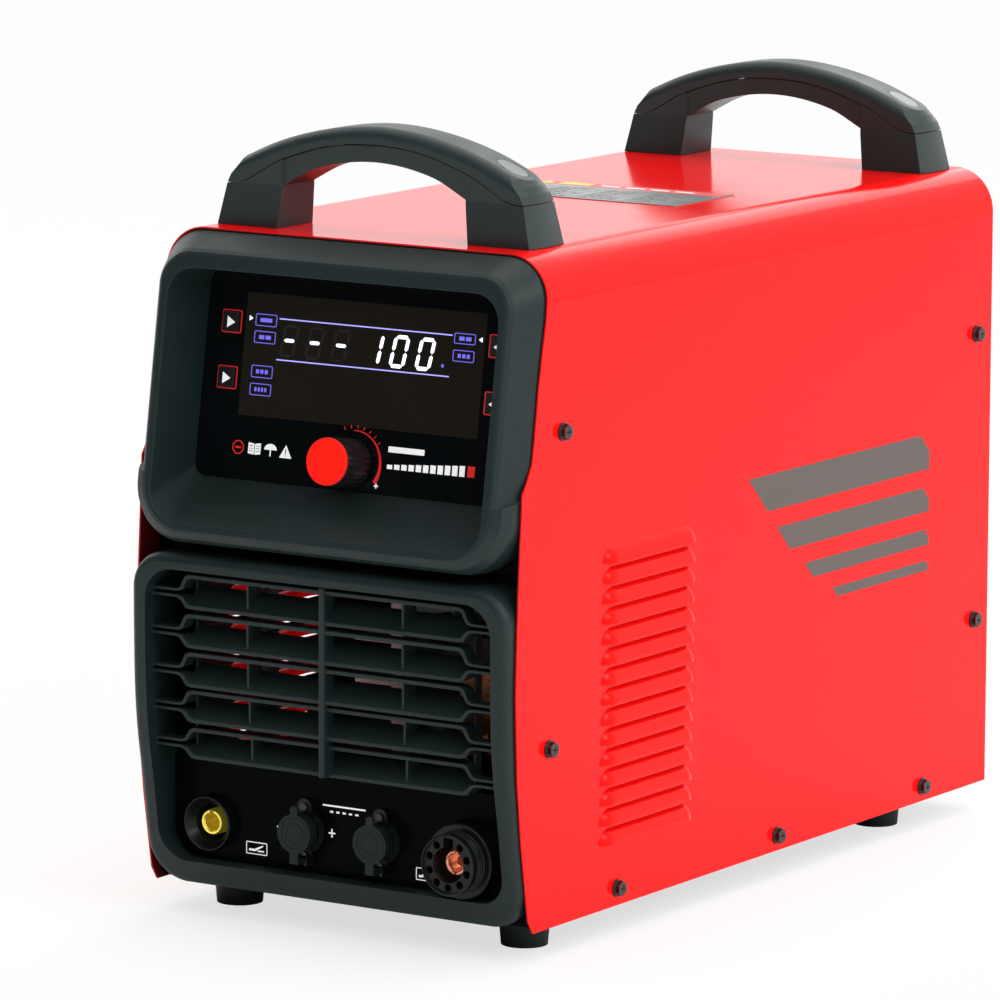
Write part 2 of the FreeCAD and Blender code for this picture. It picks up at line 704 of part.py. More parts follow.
def lower_bezel():
    slab = bezel_slab()
    body = slab.common(
        upright_block(size("low_w"), size("low_bottom"), size("low_top"), 22, 20))
    edges = [edge for edge in body.Edges
             if edge.valueAt((edge.FirstParameter + edge.LastParameter) / 2).y < -222.0]
    # guards the rounding of the front edges, which may fail on the curved face
    try:
        rounded = body.makeFillet(5.0, edges)
        if rounded.isValid() and rounded.Volume > 0.8 * body.Volume:
            body = rounded
    except Exception:
        pass
    ring = body.cut(upright_block(OPEN_W, size("open_bottom"), size("open_top"), 16, 17))
    bars = []
    for bottom, top, neck_low, neck_high, front in LOOPS:
        outside = loop_outline(bottom, top, neck_low, neck_high,
                               (85.5, 88.0, 91.0, 93.5, OPEN_W + 3), 1.2, 1.0)
        inside = loop_outline(bottom + BAR, top - BAR, neck_low + BAR - 0.7,
                              neck_high - BAR + 0.7, (84.9, 86.6, 89.6, 92.9, OPEN_W + 4),
                              0.9, 0.9)
        bars.append(prism_y(outside, front, front + 9.0)
                    .cut(prism_y(inside, front - 1, front + 10.0)))
        # slat rising towards the rear
        bars.append(prism_x([(front + 0.6, bottom + 0.2), (front + 14.0, bottom + 9.0),
                             (front + 14.0, bottom + 10.6), (front + 0.6, bottom + 1.9)],
                            -88.0, 88.0))
    # upright in the middle with a round front
    bars.append(Part.makeBox(3.8, 9.0, 100.5, Vector(-1.9, -237.6, 87.3)).common(slab))
    bars.append(Part.makeCylinder(1.9, 100.5, Vector(0, -237.4, 87.3)).common(slab))
    for x in (-49.0, 49.0):
        for bottom, top, _, _, front in LOOPS:
            bars.append(Part.makeBox(1.2, 12.0, top - bottom - 1.0,
                                     Vector(x - 0.6, front + 2.2, bottom + 0.5)))
    for x in (-88.6, 87.4):
        bars.append(Part.makeBox(1.2, 6.0, 98.0, Vector(x, -226.5, 87.8)))
    for x in (-108.5, 97.5):
        bars.append(Part.makeBox(11.0, 2.0, 4.0, Vector(x, -226.0, 186.5)))
    return ring.fuse(bars).removeSplitter()


node("lower_bezel", raw(lower_bezel()))

# ---- earth socket -------------------------------------------------------------------------

FORWARD = TURN["-y"]      # turned pieces: height runs to the front
node("earth_socket_body", turned(
    [(6.8, -27), (11.8, -27), (11.8, 0.05), (14.8, 0.05), (14.8, 5.7), (14.4, 6.2),
     (13.9, 6.2), (13.5, 5.7), (10.2, 0.8), (10.2, -12), (6.8, -12)],
    "earth_x", "chas_y", "earth_z", FORWARD))
earth_sleeve = turned(
    [(4.6, -36), (6.7, -36), (6.7, -11.7), (6.95, -11.4), (6.95, 0.2), (6.3, 1.2),
     (5.3, 1.2), (4.6, 0.4)], "earth_x", "chas_y", "earth_z", FORWARD)
node("earth_socket_contact", cut(
    fuse(earth_sleeve, cyl("earth_x", "chas_y + 24", "earth_z", 6.7, 22, "y")),
    box(*about("earth_x", 1.3), "chas_y - 2", "chas_y + 9", "earth_z + 3.0", "earth_z + 6.2"),
    cyl("earth_x", "chas_y - 3", "earth_z", 4.6, 27, "y")))
share("hex_nuts", cut(hexagon("earth_x", "chas_y + tray_t + 0.05", "earth_z", 30, 5, "y"),
                      cyl("earth_x", "chas_y", "earth_z", 11.85, 10, "y")))

# ---- interface sockets and dust caps ---------------------------------------------------------


def interface_socket(x):
    shell = cut(
        fuse(front_rod(x, 0.05, "cnc_z", 12.0, 2.0), front_rod(x, -17, "cnc_z", 7.9, 24.5),
             front_rod(x, 2.0, "cnc_z", 10.4, 1.3),
             box(*about(x, 4.5), "chas_y - 2.05", "chas_y - 0.05", *PORT_SCREWS),
             *[front_rod(x, 0.05, z, 4.5, 2.0) for z in PORT_SCREWS]),
        front_rod(x, -10, "cnc_z", 6.6, 30),
        *[front_rod(x, -1, z, 1.35, 6) for z in PORT_SCREWS])
    core = front_rod(x, -9.9, "cnc_z", 6.7, 13.0)
    # pad and two ears under the socket, beside the dust cap's strap
    hinge = cut(
        fuse(box(*about(x, 4.6), "chas_y - 2.05", "chas_y - 0.05",
                 "cnc_z - 17.6", "cnc_z - 13.0"),
             *[box(off(x, left), off(x, left + 1.6), "chas_y - 6.8", "chas_y - 1.0",
                   "cnc_z - 17.6", "cnc_z - 12.8") for left in (3.0, -4.6)]),
        front_rod(x, -1, "cnc_z - 13", 1.35, 6), front_rod(x, 2.05, "cnc_z - 13", 2.6, 6))
    pins = [front_rod(off(x, 3.2 * math.cos(angle)), 0, off("cnc_z", 3.2 * math.sin(angle)),
                      0.9, 6.6) for angle in (math.pi * k / 4 for k in (1, 3, 5, 7))]
    return fuse(shell, core, hinge, *pins)


def dust_cap(x):
    """cup with two ring ridges, a finger tab above and a strap below"""
    ridges = [cut(front_rod(x, 12.1, "cnc_z", radius, 0.5),
                  front_rod(x, 11.5, "cnc_z", radius - 0.9, 2)) for radius in (8.8, 5.6)]
    tab = [box(*about(x, 2.2), "chas_y - 12.2", "chas_y - 10.2", "cnc_z + 8", "cnc_z + 12.8"),
           front_rod(x, 10.2, "cnc_z + 12.8", 2.2, 2.0)]
    strap = [box(*about(x, 2.6), "chas_y - 12.2", "chas_y - 10.2",
                 "cnc_z - 16.2", "cnc_z - 8"),
             box(*about(x, 2.6), "chas_y - 11.8", "chas_y - 4.3",
                 "cnc_z - 16.3", "cnc_z - 14.8"),
             cyl("%s - 2.6" % x, "chas_y - 5.2", "cnc_z - 14.6", 1.1, 5.2, "x")]
    return cut(fuse(front_rod(x, 4.2, "cnc_z", 9.7, 6.0), front_rod(x, 9.6, "cnc_z", 10.4, 2.6),
                    *ridges, *tab, *strap),
               front_rod(x, 4.0, "cnc_z", 8.2, 6.4))


node("interface_sockets", group(*[interface_socket(x) for x in ("-cnc_x", "cnc_x")]))
node("dust_cap_left", dust_cap("-cnc_x"))
node("dust_cap_right", dust_cap("cnc_x"))
share("panel_screws", *[fuse(front_rod(x, 2.1, z, 2.0, 1.1), front_rod(x, -3.5, z, 1.2, 5.7))
                        for x in both("cnc_x") for z in PORT_SCREWS])

# ---- torch socket -------------------------------------------------------------------------

torch_shell = turned(
    [(8.4, -24), (14.9, -24), (14.9, 0.05), (20.2, 0.05), (20.2, 11.2), (19.5, 11.9),
     (16.5, 11.9), (16.0, 12.4), (16.0, 13.0), (16.3, 13.3), (16.3, 14.0), (15.7, 14.5),
     (16.3, 15.0), (16.3, 15.7), (15.7, 16.2), (16.3, 16.7), (16.3, 17.4), (15.7, 17.9),
     (16.3, 18.4), (16.3, 22.2), (15.6, 23.0), (15.0, 23.0), (14.7, 21.3), (9.4, 21.3),
     (9.4, -4.0), (8.4, -4.0)], "torch_x", "chas_y", "torch_z", FORWARD)
# ten places on a ring, the top one taken by the keyway
pin_angles = [math.pi / 2 + 2 * math.pi * k / 10 for k in range(1, 10)]
node("torch_socket_body", cut(
    torch_shell,
    box(*about("torch_x", 3.0), "chas_y - 24", "chas_y - 8", "torch_z + 7", "torch_z + 14.2"),
    *[front_rod(off("torch_x", 12.1 * math.cos(angle)), 8,
                off("torch_z", 12.1 * math.sin(angle)), 2.1, 14) for angle in pin_angles]))
torch_sleeve = turned(
    [(3.1, 8.0), (3.1, -34), (5.0, -34), (5.0, -23.9), (8.3, -23.9), (8.3, -4.1),
     (6.7, -4.1), (6.7, 13.7), (6.0, 14.4), (5.4, 14.4), (4.8, 13.8), (4.8, 8.0)],
    "torch_x", "chas_y", "torch_z", FORWARD)
node("torch_socket_contact", cut(
    torch_sleeve,
    *[box(*about("torch_x", 0.8), "chas_y - 16", "chas_y - 9",
          off("torch_z", low), off("torch_z", low + 4)) for low in (4, -8)]))
share("hex_nuts", cut(hexagon("torch_x", "chas_y + tray_t + 0.05", "torch_z", 36, 6, "y"),
                      cyl("torch_x", "chas_y", "torch_z", 14.95, 12, "y")))

# ---- handles ------------------------------------------------------------------------------


def mirrored(half):
    return [(-x, z) for x, z in half[::-1][:-1]] + half


# (x, z) outlines, given from the middle to the right end
ARCH = mirrored([(0.0, 424.0), (20.0, 422.7), (40.0, 419.2), (60.0, 413.6), (72.0, 409.0),
                 (80.0, 405.4), (87.0, 402.2), (92.0, 399.4), (96.5, 394.0)])
SEAM = mirrored([(0.0, 414.9), (15.0, 414.4), (35.5, 410.9), (47.6, 407.3), (56.6, 404.2),
                 (65.2, 400.3), (77.6, 393.2), (82.5, 390.8), (88.0, 389.6), (96.5, 389.6)])
UNDER = mirrored([(0.0, 405.7), (16.0, 404.6), (30.0, 401.9), (40.0, 398.8), (48.0, 394.9),
                  (54.0, 391.6), (57.3, 389.8)])
HANDLE_LOW = TOP + 0.05
# height, half length at the corners and at the bowed end's middle, half thickness
PLAN = [(HANDLE_LOW, 98.0, 99.6, 16.6), (389.6, 92.85, 94.6, 14.6), (394.0, 90.6, 93.6, 14.6),
        (398.0, 86.6, 91.6, 14.6), (402.0, 82.0, 88.5, 14.6), (406.0, 75.0, 83.0, 14.6),
        (413.0, 60.0, 70.0, 14.6)]


def plan_wire(centre, level):
    z, corner, middle, thick = level
    front, rear = centre - thick, centre + thick
    a, b = Vector(-corner, front, z), Vector(corner, front, z)
    c, d = Vector(corner, rear, z), Vector(-corner, rear, z)
    return Part.Wire([Part.makeLine(a, b), Part.Arc(b, Vector(middle, centre, z), c).toShape(),
                      Part.makeLine(c, d), Part.Arc(d, Vector(-middle, centre, z), a).toShape()])


def handle_shapes(centre, half):
    """grip and body of a handle, before its bolt holes"""
    def curve(points, y):
        return spline([Vector(x, y, z) for x, z in points]).toShape()

    def lines(points, y):
        places = [Vector(x, y, z) for x, z in points]
        return [Part.makeLine(start, end) for start, end in zip(places, places[1:])]

    lower = Part.makeLoft([plan_wire(centre, level) for level in PLAN[:2]], True, True)
    upper = Part.makeLoft([plan_wire(centre, level) for level in PLAN[1:]], True, True)
    middle = Part.makeBox(128.0, 2 * half, 40.0, Vector(-64.0, centre - half, 400.0))
    envelope = lower.fuse([upper, middle])

    y = centre - half
    edges = [curve(ARCH, y)] + lines([ARCH[-1], SEAM[-1]], y)
    edges += [curve(SEAM[::-1], y)] + lines([SEAM[0], ARCH[0]], y)
    grip = Part.Face(Part.Wire(edges)).extrude(Vector(0, 2 * half, 0))
    # guards the rounding of the arch's two long edges, which may fail on the spline
    try:
        crests = [edge for edge in grip.Edges
                  if edge.BoundBox.ZMax > 423.0 and edge.BoundBox.YLength < 0.01]
        rounded = grip.makeFillet(6.0, crests)
        if rounded.isValid() and rounded.Volume > 0.7 * grip.Volume:
            grip = rounded
    except Exception:
        pass
    grip = grip.common(envelope)

    y = centre - 17.0
    seam = [(x, z - 0.5) for x, z in SEAM]
    end = 100.5
    edges = lines([(-end, HANDLE_LOW), (-end, seam[0][1]), seam[0]], y) + [curve(seam, y)]
    edges += lines([seam[-1], (end, seam[-1][1]), (end, HANDLE_LOW), (60.0, HANDLE_LOW),
                    UNDER[-1]], y)
    edges += [curve(UNDER[::-1], y)]
    edges += lines([UNDER[0], (-60.0, HANDLE_LOW), (-end, HANDLE_LOW)], y)
    body = Part.Face(Part.Wire(edges)).extrude(Vector(0, 34.0, 0)).common(envelope)
    # the span between the feet is a little slimmer than the feet
    for y in (centre - half - 1.2, centre + half - 0.8):
        body = body.cut(Part.makeBox(115.0, 2.0, 60.0, Vector(-57.5, y, 380.0)))
    return grip, body


def leaning_oval(side, centre, major, minor):
    """elliptic bar leaning outwards through a bolt place"""
    wire = Part.Wire([Part.Ellipse(Vector(), major, minor).toShape()])
    oval = Part.Face(wire).extrude(Vector(0, 0, 40))
    oval.Placement = Placement(Vector(side * (76.0 - 3.4), centre, 396.0),
                               Rotation(Vector(0, 1, 0), side * 23.0))
    return oval


plugs = []
for label in ("front", "rear"):
    centre = size("handle_" + label)
    grip, body = handle_shapes(centre, size("handle_t"))
    plugs += [grip.common(leaning_oval(side, centre, 9.38, 5.88)) for side in (-1, 1)]
    for side in (-1, 1):
        grip = grip.cut(leaning_oval(side, centre, 9.5, 6.0))
    for x in (-76.0, 76.0):
        for radius, z in ((6.4, 383.0), (3.3, 360.0)):
            well = Part.makeCylinder(radius, 60.0, Vector(x, centre, z))
            body = body.cut(well)
            grip = grip.cut(well)
    node(label + "_handle_body", raw(body))
    node(label + "_handle_grip", raw(grip.removeSplitter()))
node("handle_plugs", raw(Part.makeCompound(plugs)))
for x, y in HANDLE_BOLTS:
    share("case_screws", cut(fuse(cyl(x, y, 383.05, 5.0, 5.5), cyl(x, y, 352.0, 3.0, 32.0)),
                             hexagon(x, y, 386.0, 5.0, 4.0)))
    share("hex_nuts", cut(hexagon(x, y, "case_top - gauge - 7.6", 10.0, 5.0),
                          cyl(x, y, 350, 3.05, 20)))
node("rating_plate", box(-64, 63, 7, 69, "case_top + 0.02", "case_top + 0.4"))

# ---- fan ----------------------------------------------------------------------------------

FAN_FRONT = INNER + " - 38.1"
SPOKES = (FAN_FRONT, INNER + " - 35.1")
# waist between the two flanges, leaving the duct wall and the corner posts
waist = cut(box(*about(0, "fan_half + 1"), INNER + " - 33", INNER + " - 5",
                *about("fan_z", "fan_half + 1")),
            cyl(0, INNER + " - 34", "fan_z", 59.6, 30, "y"),
            *four_rods(FAN_SCREWS, INNER + " - 34", 5.0, 30))
casing = cut(box(*about(0, "fan_half"), FAN_FRONT, INNER + " - 0.1",
                 *about("fan_z", "fan_half")),
             cyl(0, INNER + " - 40", "fan_z", "fan_bore", 45, "y"), waist)
node("fan_frame", cut(
    fuse(casing,
         cyl(0, FAN_FRONT, "fan_z", 22.0, 6.0, "y"),
         cyl(0, INNER + " - 32.2", "fan_z", 6.0, 20.0, "y"),
         box(-59.2, 59.2, *SPOKES, *about("fan_z", 2.5)),
         box(-2.5, 2.5, *SPOKES, *about("fan_z", 59.2))),
    cyl(0, INNER + " - 34.5", "fan_z", 2.05, 30.0, "y"),
    *four_rods(FAN_SCREWS, INNER + " - 45", 2.2, 60)))


def fan_rotor():
    wall, axis_z = size("rear_y") - size("tray_t"), size("fan_z")

    def round_bar(radius, length, ahead):
        start = Vector(0, wall - ahead, axis_z)
        return Part.makeCylinder(radius, length, start, Vector(0, 1, 0))

    # (y, z) blade sections at the root and the tip; X is radial, Y along the shaft
    root = [(0, -6.0), (16.0, 10.0), (17.4, 9.0), (1.4, -7.0)]
    tip = [(0, -12.0), (10.0, 14.0), (11.3, 13.2), (1.3, -12.8)]
    blades = []
    for k in range(7):
        wires = [Part.makePolygon([Vector(x, y, z) for y, z in points + points[:1]])
                 for x, points in ((20.0, root), (55.0, tip))]
        blade = Part.makeLoft(wires, True, True)
        blade.rotate(Vector(), Vector(0, 1, 0), 360.0 / 7 * k)
        blade.translate(Vector(0, wall - 26.0, axis_z))
        blades.append(blade)
    hub = round_bar(21.5, 24.0, 29.5).cut(round_bar(19.5, 22.5, 30.5))
    rotor = hub.fuse(blades).fuse(round_bar(2.0, 25.0, 31.5))
    return rotor.common(round_bar(56.6, 60, 45))


node("fan_rotor", raw(fan_rotor()))

guard_spokes = [
    put(cyl(0, 0, 0, 0.9, 57.3), sx * 9.0, "rear_y + 1.5", off("fan_z", sz * 9.0),
        Rotation(Vector(0, 0, 1), Vector(sx, 0, sz))) for sx, sz in CORNERS]
guard_eyes = [cut(eye, hole) for eye, hole in zip(
    four_rods(FAN_SCREWS, "rear_y + 0.05", 4.6, 1.6),
    four_rods(FAN_SCREWS, "rear_y - 2", 2.2, 8))]
node("fan_guard", fuse(
    *[torus(0, "rear_y + 2.6", "fan_z", radius, 0.9, "y") for radius in range(14, 55, 10)],
    *guard_spokes, *guard_eyes))
share("panel_screws", *[fuse(head, shank) for head, shank in zip(
    four_rods(FAN_SCREWS, "rear_y + 1.7", 3.8, 2.2),
    four_rods(FAN_SCREWS, INNER + " - 39.5", 2.0, 42.0))])

# ---- rotary mains switch ----------------------------------------------------------------------


def switch_rod(y, radius, length):
    return cyl("switch_x", y, "switch_z", radius, length, "y")


node("mains_switch_body", cut(
    fuse(box(*about("switch_x", 25), INNER + " - 50.1", INNER + " - 0.1",
             *about("switch_z", 25)),
         switch_rod(INNER + " - 0.2", 14.8, 2.2)),
    switch_rod("rear_y - 20", 4.05, 30)))
node("mains_switch_plate", cut(
    box(*about("switch_x", 24), "rear_y + 0.6", "rear_y + 3.1", *about("switch_z", 24)),
    switch_rod("rear_y - 2", 15.2, 10), *four_rods(SWITCH_SCREWS, "rear_y - 5", 2.2, 12)))
share("panel_screws", *[fuse(head, shank) for head, shank in zip(
    four_rods(SWITCH_SCREWS, "rear_y + 3.15", 3.4, 1.8),
    four_rods(SWITCH_SCREWS, "rear_y + 0.5", 2.0, 3.5))])
node("mains_switch_knob", fuse(
    switch_rod("rear_y + 3.3", 14.0, 5.0), switch_rod("rear_y - 19", 4.0, 24),
    box(*about("switch_x", 4.5), "rear_y + 8.2", "rear_y + 21", *about("switch_z", 17))))

# ---- cable gland ------------------------------------------------------------------------------

GLAND_BARREL = 12.4
gland_body = cut(
    fuse(cyl("gland_x", "rear_y - 14", "gland_z", GLAND_BARREL, 24, "y"),
         hexagon("gland_x", "rear_y + 0.1", "gland_z", 30, 6, "y")),
    cyl("gland_x", "rear_y - 16", "gland_z", 8.0, 60, "y"))
gland_cap = cut(
    fuse(hexagon("gland_x", "rear_y + 10.1", "gland_z", 28, 9, "y"),
         cone("gland_x", "rear_y + 19", "gland_z", 13.5, 10.0, 8, "y")),
    cyl("gland_x", "rear_y + 5", "gland_z", 6.5, 60, "y"))
node("cable_gland", group(gland_body, gland_cap))
share("hex_nuts", cut(hexagon("gland_x", INNER + " - 6.1", "gland_z", 30, 6, "y"),
                      cyl("gland_x", "rear_y - 30", "gland_z", GLAND_BARREL + 0.05, 60, "y")))

# ---- filter and pressure regulator --------------------------------------------------------------


def reg_rod(height, radius, length):
    """upright cylinder on the regulator's axis"""
    return cyl("reg_x", "reg_y", off("reg_z", height), radius, length)


def reg_side_rod(x_step, radius, length):
    return cyl(off("reg_x", x_step), "reg_y", "reg_z", radius, length, "x")


def gauge_rod(y_step, radius, length):
    """cylinder on the gauge's axis, towards the rear"""
    return cyl("reg_x", off("reg_y", y_step), "reg_z", radius, length, "y")


node("regulator_bracket", cut(
    fuse(box(*about("reg_x", 22), "rear_y + 0.1", "rear_y + 2.1", "reg_z + 17", "reg_z + 40"),
         box(*about("reg_x", 22), "rear_y + 0.1", "reg_y + 24", "reg_z + 22.2",
             "reg_z + 24.7")),
    reg_rod(10, 15.3, 30),
    *[cyl(x, "rear_y - 5", "reg_z + 31", 2.2, 12, "y") for x in BRACKET_SCREWS]))
share("panel_screws", *[fuse(cyl(x, "rear_y + 2.15", "reg_z + 31", 3.6, 2.2, "y"),
                             cyl(x, "rear_y - 7", "reg_z + 31", 2.0, 10, "y"))
                        for x in BRACKET_SCREWS])
node("regulator_body", cut(
    fuse(box(*about("reg_x", 21), *about("reg_y", 21), "reg_z - 20", "reg_z + 22"),
         reg_rod(20, 15.0, 12), reg_rod(-26, 20.0, 8),
         reg_side_rod(-27, 9.5, 8), reg_side_rod(19, 9.5, 8)),
    reg_side_rod(-28, 6.6, 17), reg_side_rod(10, 6.6, 18), gauge_rod(15, 5.0, 8),
    reg_rod(14, 5.05, 30)))
node("regulator_bowl", turned(
    [(0.0, -84), (6.0, -84), (14.0, -80), (17.5, -74), (18.0, -30), (19.6, -30),
     (19.6, -26.1), (15.6, -26.1), (15.6, -72), (12.5, -77.5), (5.0, -81), (0.0, -81)],
    "reg_x", "reg_y", "reg_z", TURN["z"]))
knob_flutes = [cyl(off("reg_x", 18.2 * math.cos(k * math.pi / 9)),
                   off("reg_y", 18.2 * math.sin(k * math.pi / 9)), "reg_z + 32", 1.3, 22)
               for k in range(18)]
node("regulator_knob", fuse(cut(reg_rod(32.3, 17.5, 26), *knob_flutes), reg_rod(15, 5.0, 20)))
node("gauge_body", cut(fuse(gauge_rod(15.1, 4.9, 9), gauge_rod(23, 20.0, 12)),
                       gauge_rod(24.5, 18.3, 12)))
needle = box(*about("reg_x", 0.5), "reg_y + 27", "reg_y + 27.6", "reg_z - 4", "reg_z + 14")
node("gauge_dial", fuse(gauge_rod(24.6, 18.2, 0.8), needle, gauge_rod(25.0, 1.6, 2.9)))
node("gauge_glass", gauge_rod(32.8, 18.2, 1.6))

# ---- air line and valve ---------------------------------------------------------------------


def sweep(path, start, along, radius):
    """round bar along a wire"""
    ring = Part.Wire([Part.Circle(start, along, radius).toShape()])
    return path.makePipeShell([ring], True, False)


def curved_lead(places, radius):
    points = [Vector(*place) for place in places]
    curve = spline(points)
    along = curve.tangent(curve.FirstParameter)[0]
    return sweep(Part.Wire([curve.toShape()]), points[0], along, radius)


def bent_pipe(places, radius, bend):
    """straight runs joined by arcs, bends tightened where a run is short"""
    points = [Vector(*place) for place in places]
    edges, start = [], points[0]
    for before, corner, after in zip(points, points[1:], points[2:]):
        to_before, to_after = before - corner, after - corner
        half_angle = to_before.getAngle(to_after) / 2
        back = min(bend / math.tan(half_angle), to_before.Length * 0.48,
                   to_after.Length * 0.48)
        arc_radius = back * math.tan(half_angle)
        to_before.normalize()
        to_after.normalize()
        middle = to_before + to_after
        middle.normalize()
        inset = arc_radius / math.sin(half_angle) - arc_radius
        arc_start, arc_end = corner + to_before * back, corner + to_after * back
        edges.append(Part.makeLine(start, arc_start))
        edges.append(Part.Arc(arc_start, corner + middle * inset, arc_end).toShape())
        start = arc_end
    edges.append(Part.makeLine(start, points[-1]))
    along = points[1] - points[0]
    along.normalize()
    return sweep(Part.Wire(edges), points[0], along, radius)


reg_x, reg_y, reg_z = size("reg_x"), size("reg_y"), size("reg_z")
node("air_hose", raw(bent_pipe(
    [(reg_x + 22.05, reg_y, reg_z), (reg_x + 34.0, reg_y, reg_z),
     (reg_x + 34.0, 228.0, reg_z), (-107.4, 228.0, 225.0), (-107.4, 211.0, 190.0),
     (-107.4, 211.0, 31.0), (-107.4, -92.0, 31.0), (-84.0, -92.0, 45.0),
     (-84.0, -111.9, 45.0)], 4.0, 10.0)))
node("solenoid_valve", fuse(
    box(-98, -70, -134, -112, 30, 58), box(-96, -72, -132, -114, 57.5, 88),
    cyl(-84, -123, 87, 4.0, 8), box(-94, -74, -130, -116, 18.6, 31)))

# ---- heat sinks and power modules -------------------------------------------------------------


def heat_sink(side):
    """upright plate with twelve fins towards the cover"""
    return fuse(box(*span(side, 68, 76), -60, 170, 62, 196),
                *[box(*span(side, 75, 100), -60, 170, 64 + 11.8 * k, 66.2 + 11.8 * k)
                  for k in range(12)])


node("heat_sinks", group(*[heat_sink(side) for side in SIDES]))
share("power_modules", *[box(*span(side, 63.9, 67.9), y, y + 34, 75, 135)
                         for side in SIDES for y in (-50, 0, 50, 100)])
share("power_modules", fuse(
    box(-88, -28, 128, 164, DECK + " + 4.1", DECK + " + 22"),
    *[cyl(x, 146, DECK + " + 21", 4.0, 6) for x in (-80, -66, -50, -36)]))

# ---- coils --------------------------------------------------------------------------------

# transformer: window frame with a middle leg, one winding, a table under it
frame = cut(box(-40, 40, -60, -20, 60, 132), box(-24, 24, -61, -19, 74, 118))
share("coil_cores", fuse(frame, box(-8, 8, -60, -20, 73, 119)))
share("coil_windings", cut(box(-22.5, 22.5, -74, -6, 76, 116),
                           box(-8.6, 8.6, -60.6, -19.4, 70, 122)))
share("coil_brackets", fuse(box(-44, 44, -66, -14, 57, 59.9),
                            *[box(x, x + 3, -60, -20, 19, 58) for x in (-44, 41)]))

# ring coil, axis along Y
RING_X, RING_Y, RING_Z = 52, -130, 66
share("coil_cores", cut(cyl(RING_X, RING_Y - 11, RING_Z, 30.0, 22, "y"),
                        cyl(RING_X, RING_Y - 12, RING_Z, 15.0, 24, "y")))
turns = []
for k in range(20):
    angle = 2 * math.pi * k / 20
    turn = Part.makeBox(24.0, 30.0, 2.8, Vector(-12.0, -15.0, -1.4))
    turn = turn.cut(Part.makeBox(17.0, 23.4, 5.0, Vector(-8.5, -11.7, -2.5)))
    turn.Placement = Placement(
        Vector(RING_X + 22.5 * math.cos(angle), RING_Y, RING_Z + 22.5 * math.sin(angle)),
        Rotation(Vector(0, 1, 0), -math.degrees(angle)))
    turns.append(turn)
share("coil_windings", raw(Part.makeCompound(turns)))
share("coil_brackets", fuse(box(30, 74, -138, -122, 18.6, 31.0),
                            box(22, 82, -141, -119, 18.6, 21.0)))

# ---- boards above the shelf and output leads --------------------------------------------------

node("bus_capacitors", group(*[
    fuse(cyl(x, y, DECK + " + 4.1", 17.5, 62), cyl(x, y, DECK + " + 66", 16.0, 1.5))
    for x in (-60, -20, 20, 60) for y in (40, 84)]))
node("power_board", cut(
    fuse(box(-100, 100, -70, 190, DECK + " + 2.4", DECK + " + 4.0"),
         *[cyl(x, y, DECK + " + 0.05", 4.0, 3.0) for x in (-92, 92) for y in (-60, 60, 180)]),
    box(-20, 20, 110, 160, 200, 230)))
# left, front, width, depth and height of the blocks on the control board
BOARD_BLOCKS = [(-70, -130, 30, 24, 22), (-30, -120, 14, 14, 3), (0, -128, 40, 12, 14),
                (50, -126, 24, 24, 16), (-10, -108, 60, 10, 6)]
node("control_board", fuse(
    box(-90, 90, -140, -84, 262, 263.6),
    *[cyl(x, y, DECK + " + 0.05", 3.0, 55) for x in (-84, 84) for y in (-134, -90)],
    *[box(x, x + width, y, y + depth, 263.6, 263.6 + height)
      for x, y, width, depth, height in BOARD_BLOCKS]))

torch_x, torch_z = size("torch_x"), size("torch_z")
torch_lead = curved_lead(
    [(torch_x, -181.0, torch_z), (torch_x + 1.0, -170.0, torch_z), (88.5, -148.0, 50.0),
     (90.0, -126.0, 47.0), (84.0, -98.0, 43.0), (64.0, -80.0, 42.0)], 4.6)
earth_lead = curved_lead(
    [(size("earth_x"), -169.0, size("earth_z")), (-82.0, -158.0, 49.0),
     (-62.0, -146.0, 42.0), (-54.0, -110.0, 36.0), (-50.0, -80.0, 40.0)], 4.6)
node("output_leads", raw(Part.makeCompound([torch_lead, earth_lead])))

for label in sorted(shared):
    node(label, group(*shared[label]))

# ---- checks and export ------------------------------------------------------------------------

doc.recompute()
bad = [(thing.Name, thing.Label, thing.State) for thing in doc.Objects
       if "Invalid" in thing.State or "Error" in thing.State]
for piece in nodes:
    if piece.Shape.isNull() or not piece.Shape.isValid():
        bad.append((piece.Label, "shape"))
    if not piece.Shape.Solids:
        bad.append((piece.Label, "no solid"))
if bad:
    raise RuntimeError("objects to repair: %s" % bad)
for piece in nodes:
    piece.Shape.exportStep("parts/%s.step" % piece.Label)
print("%d nodes" % len(nodes))
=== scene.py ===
# A compact red and black cabinet unit with a tilted control head, sockets on a low front
# plate, a label on top and a gauge, switch and regulator bowl at the rear.
# Frame: +Z up, front towards -Y, right side at +X. Sizes are in millimetres unless noted;
# shader distances, the lights and the camera are in metres.
import bpy
import bmesh
import json
import math
import random
from mathutils import Vector, Matrix


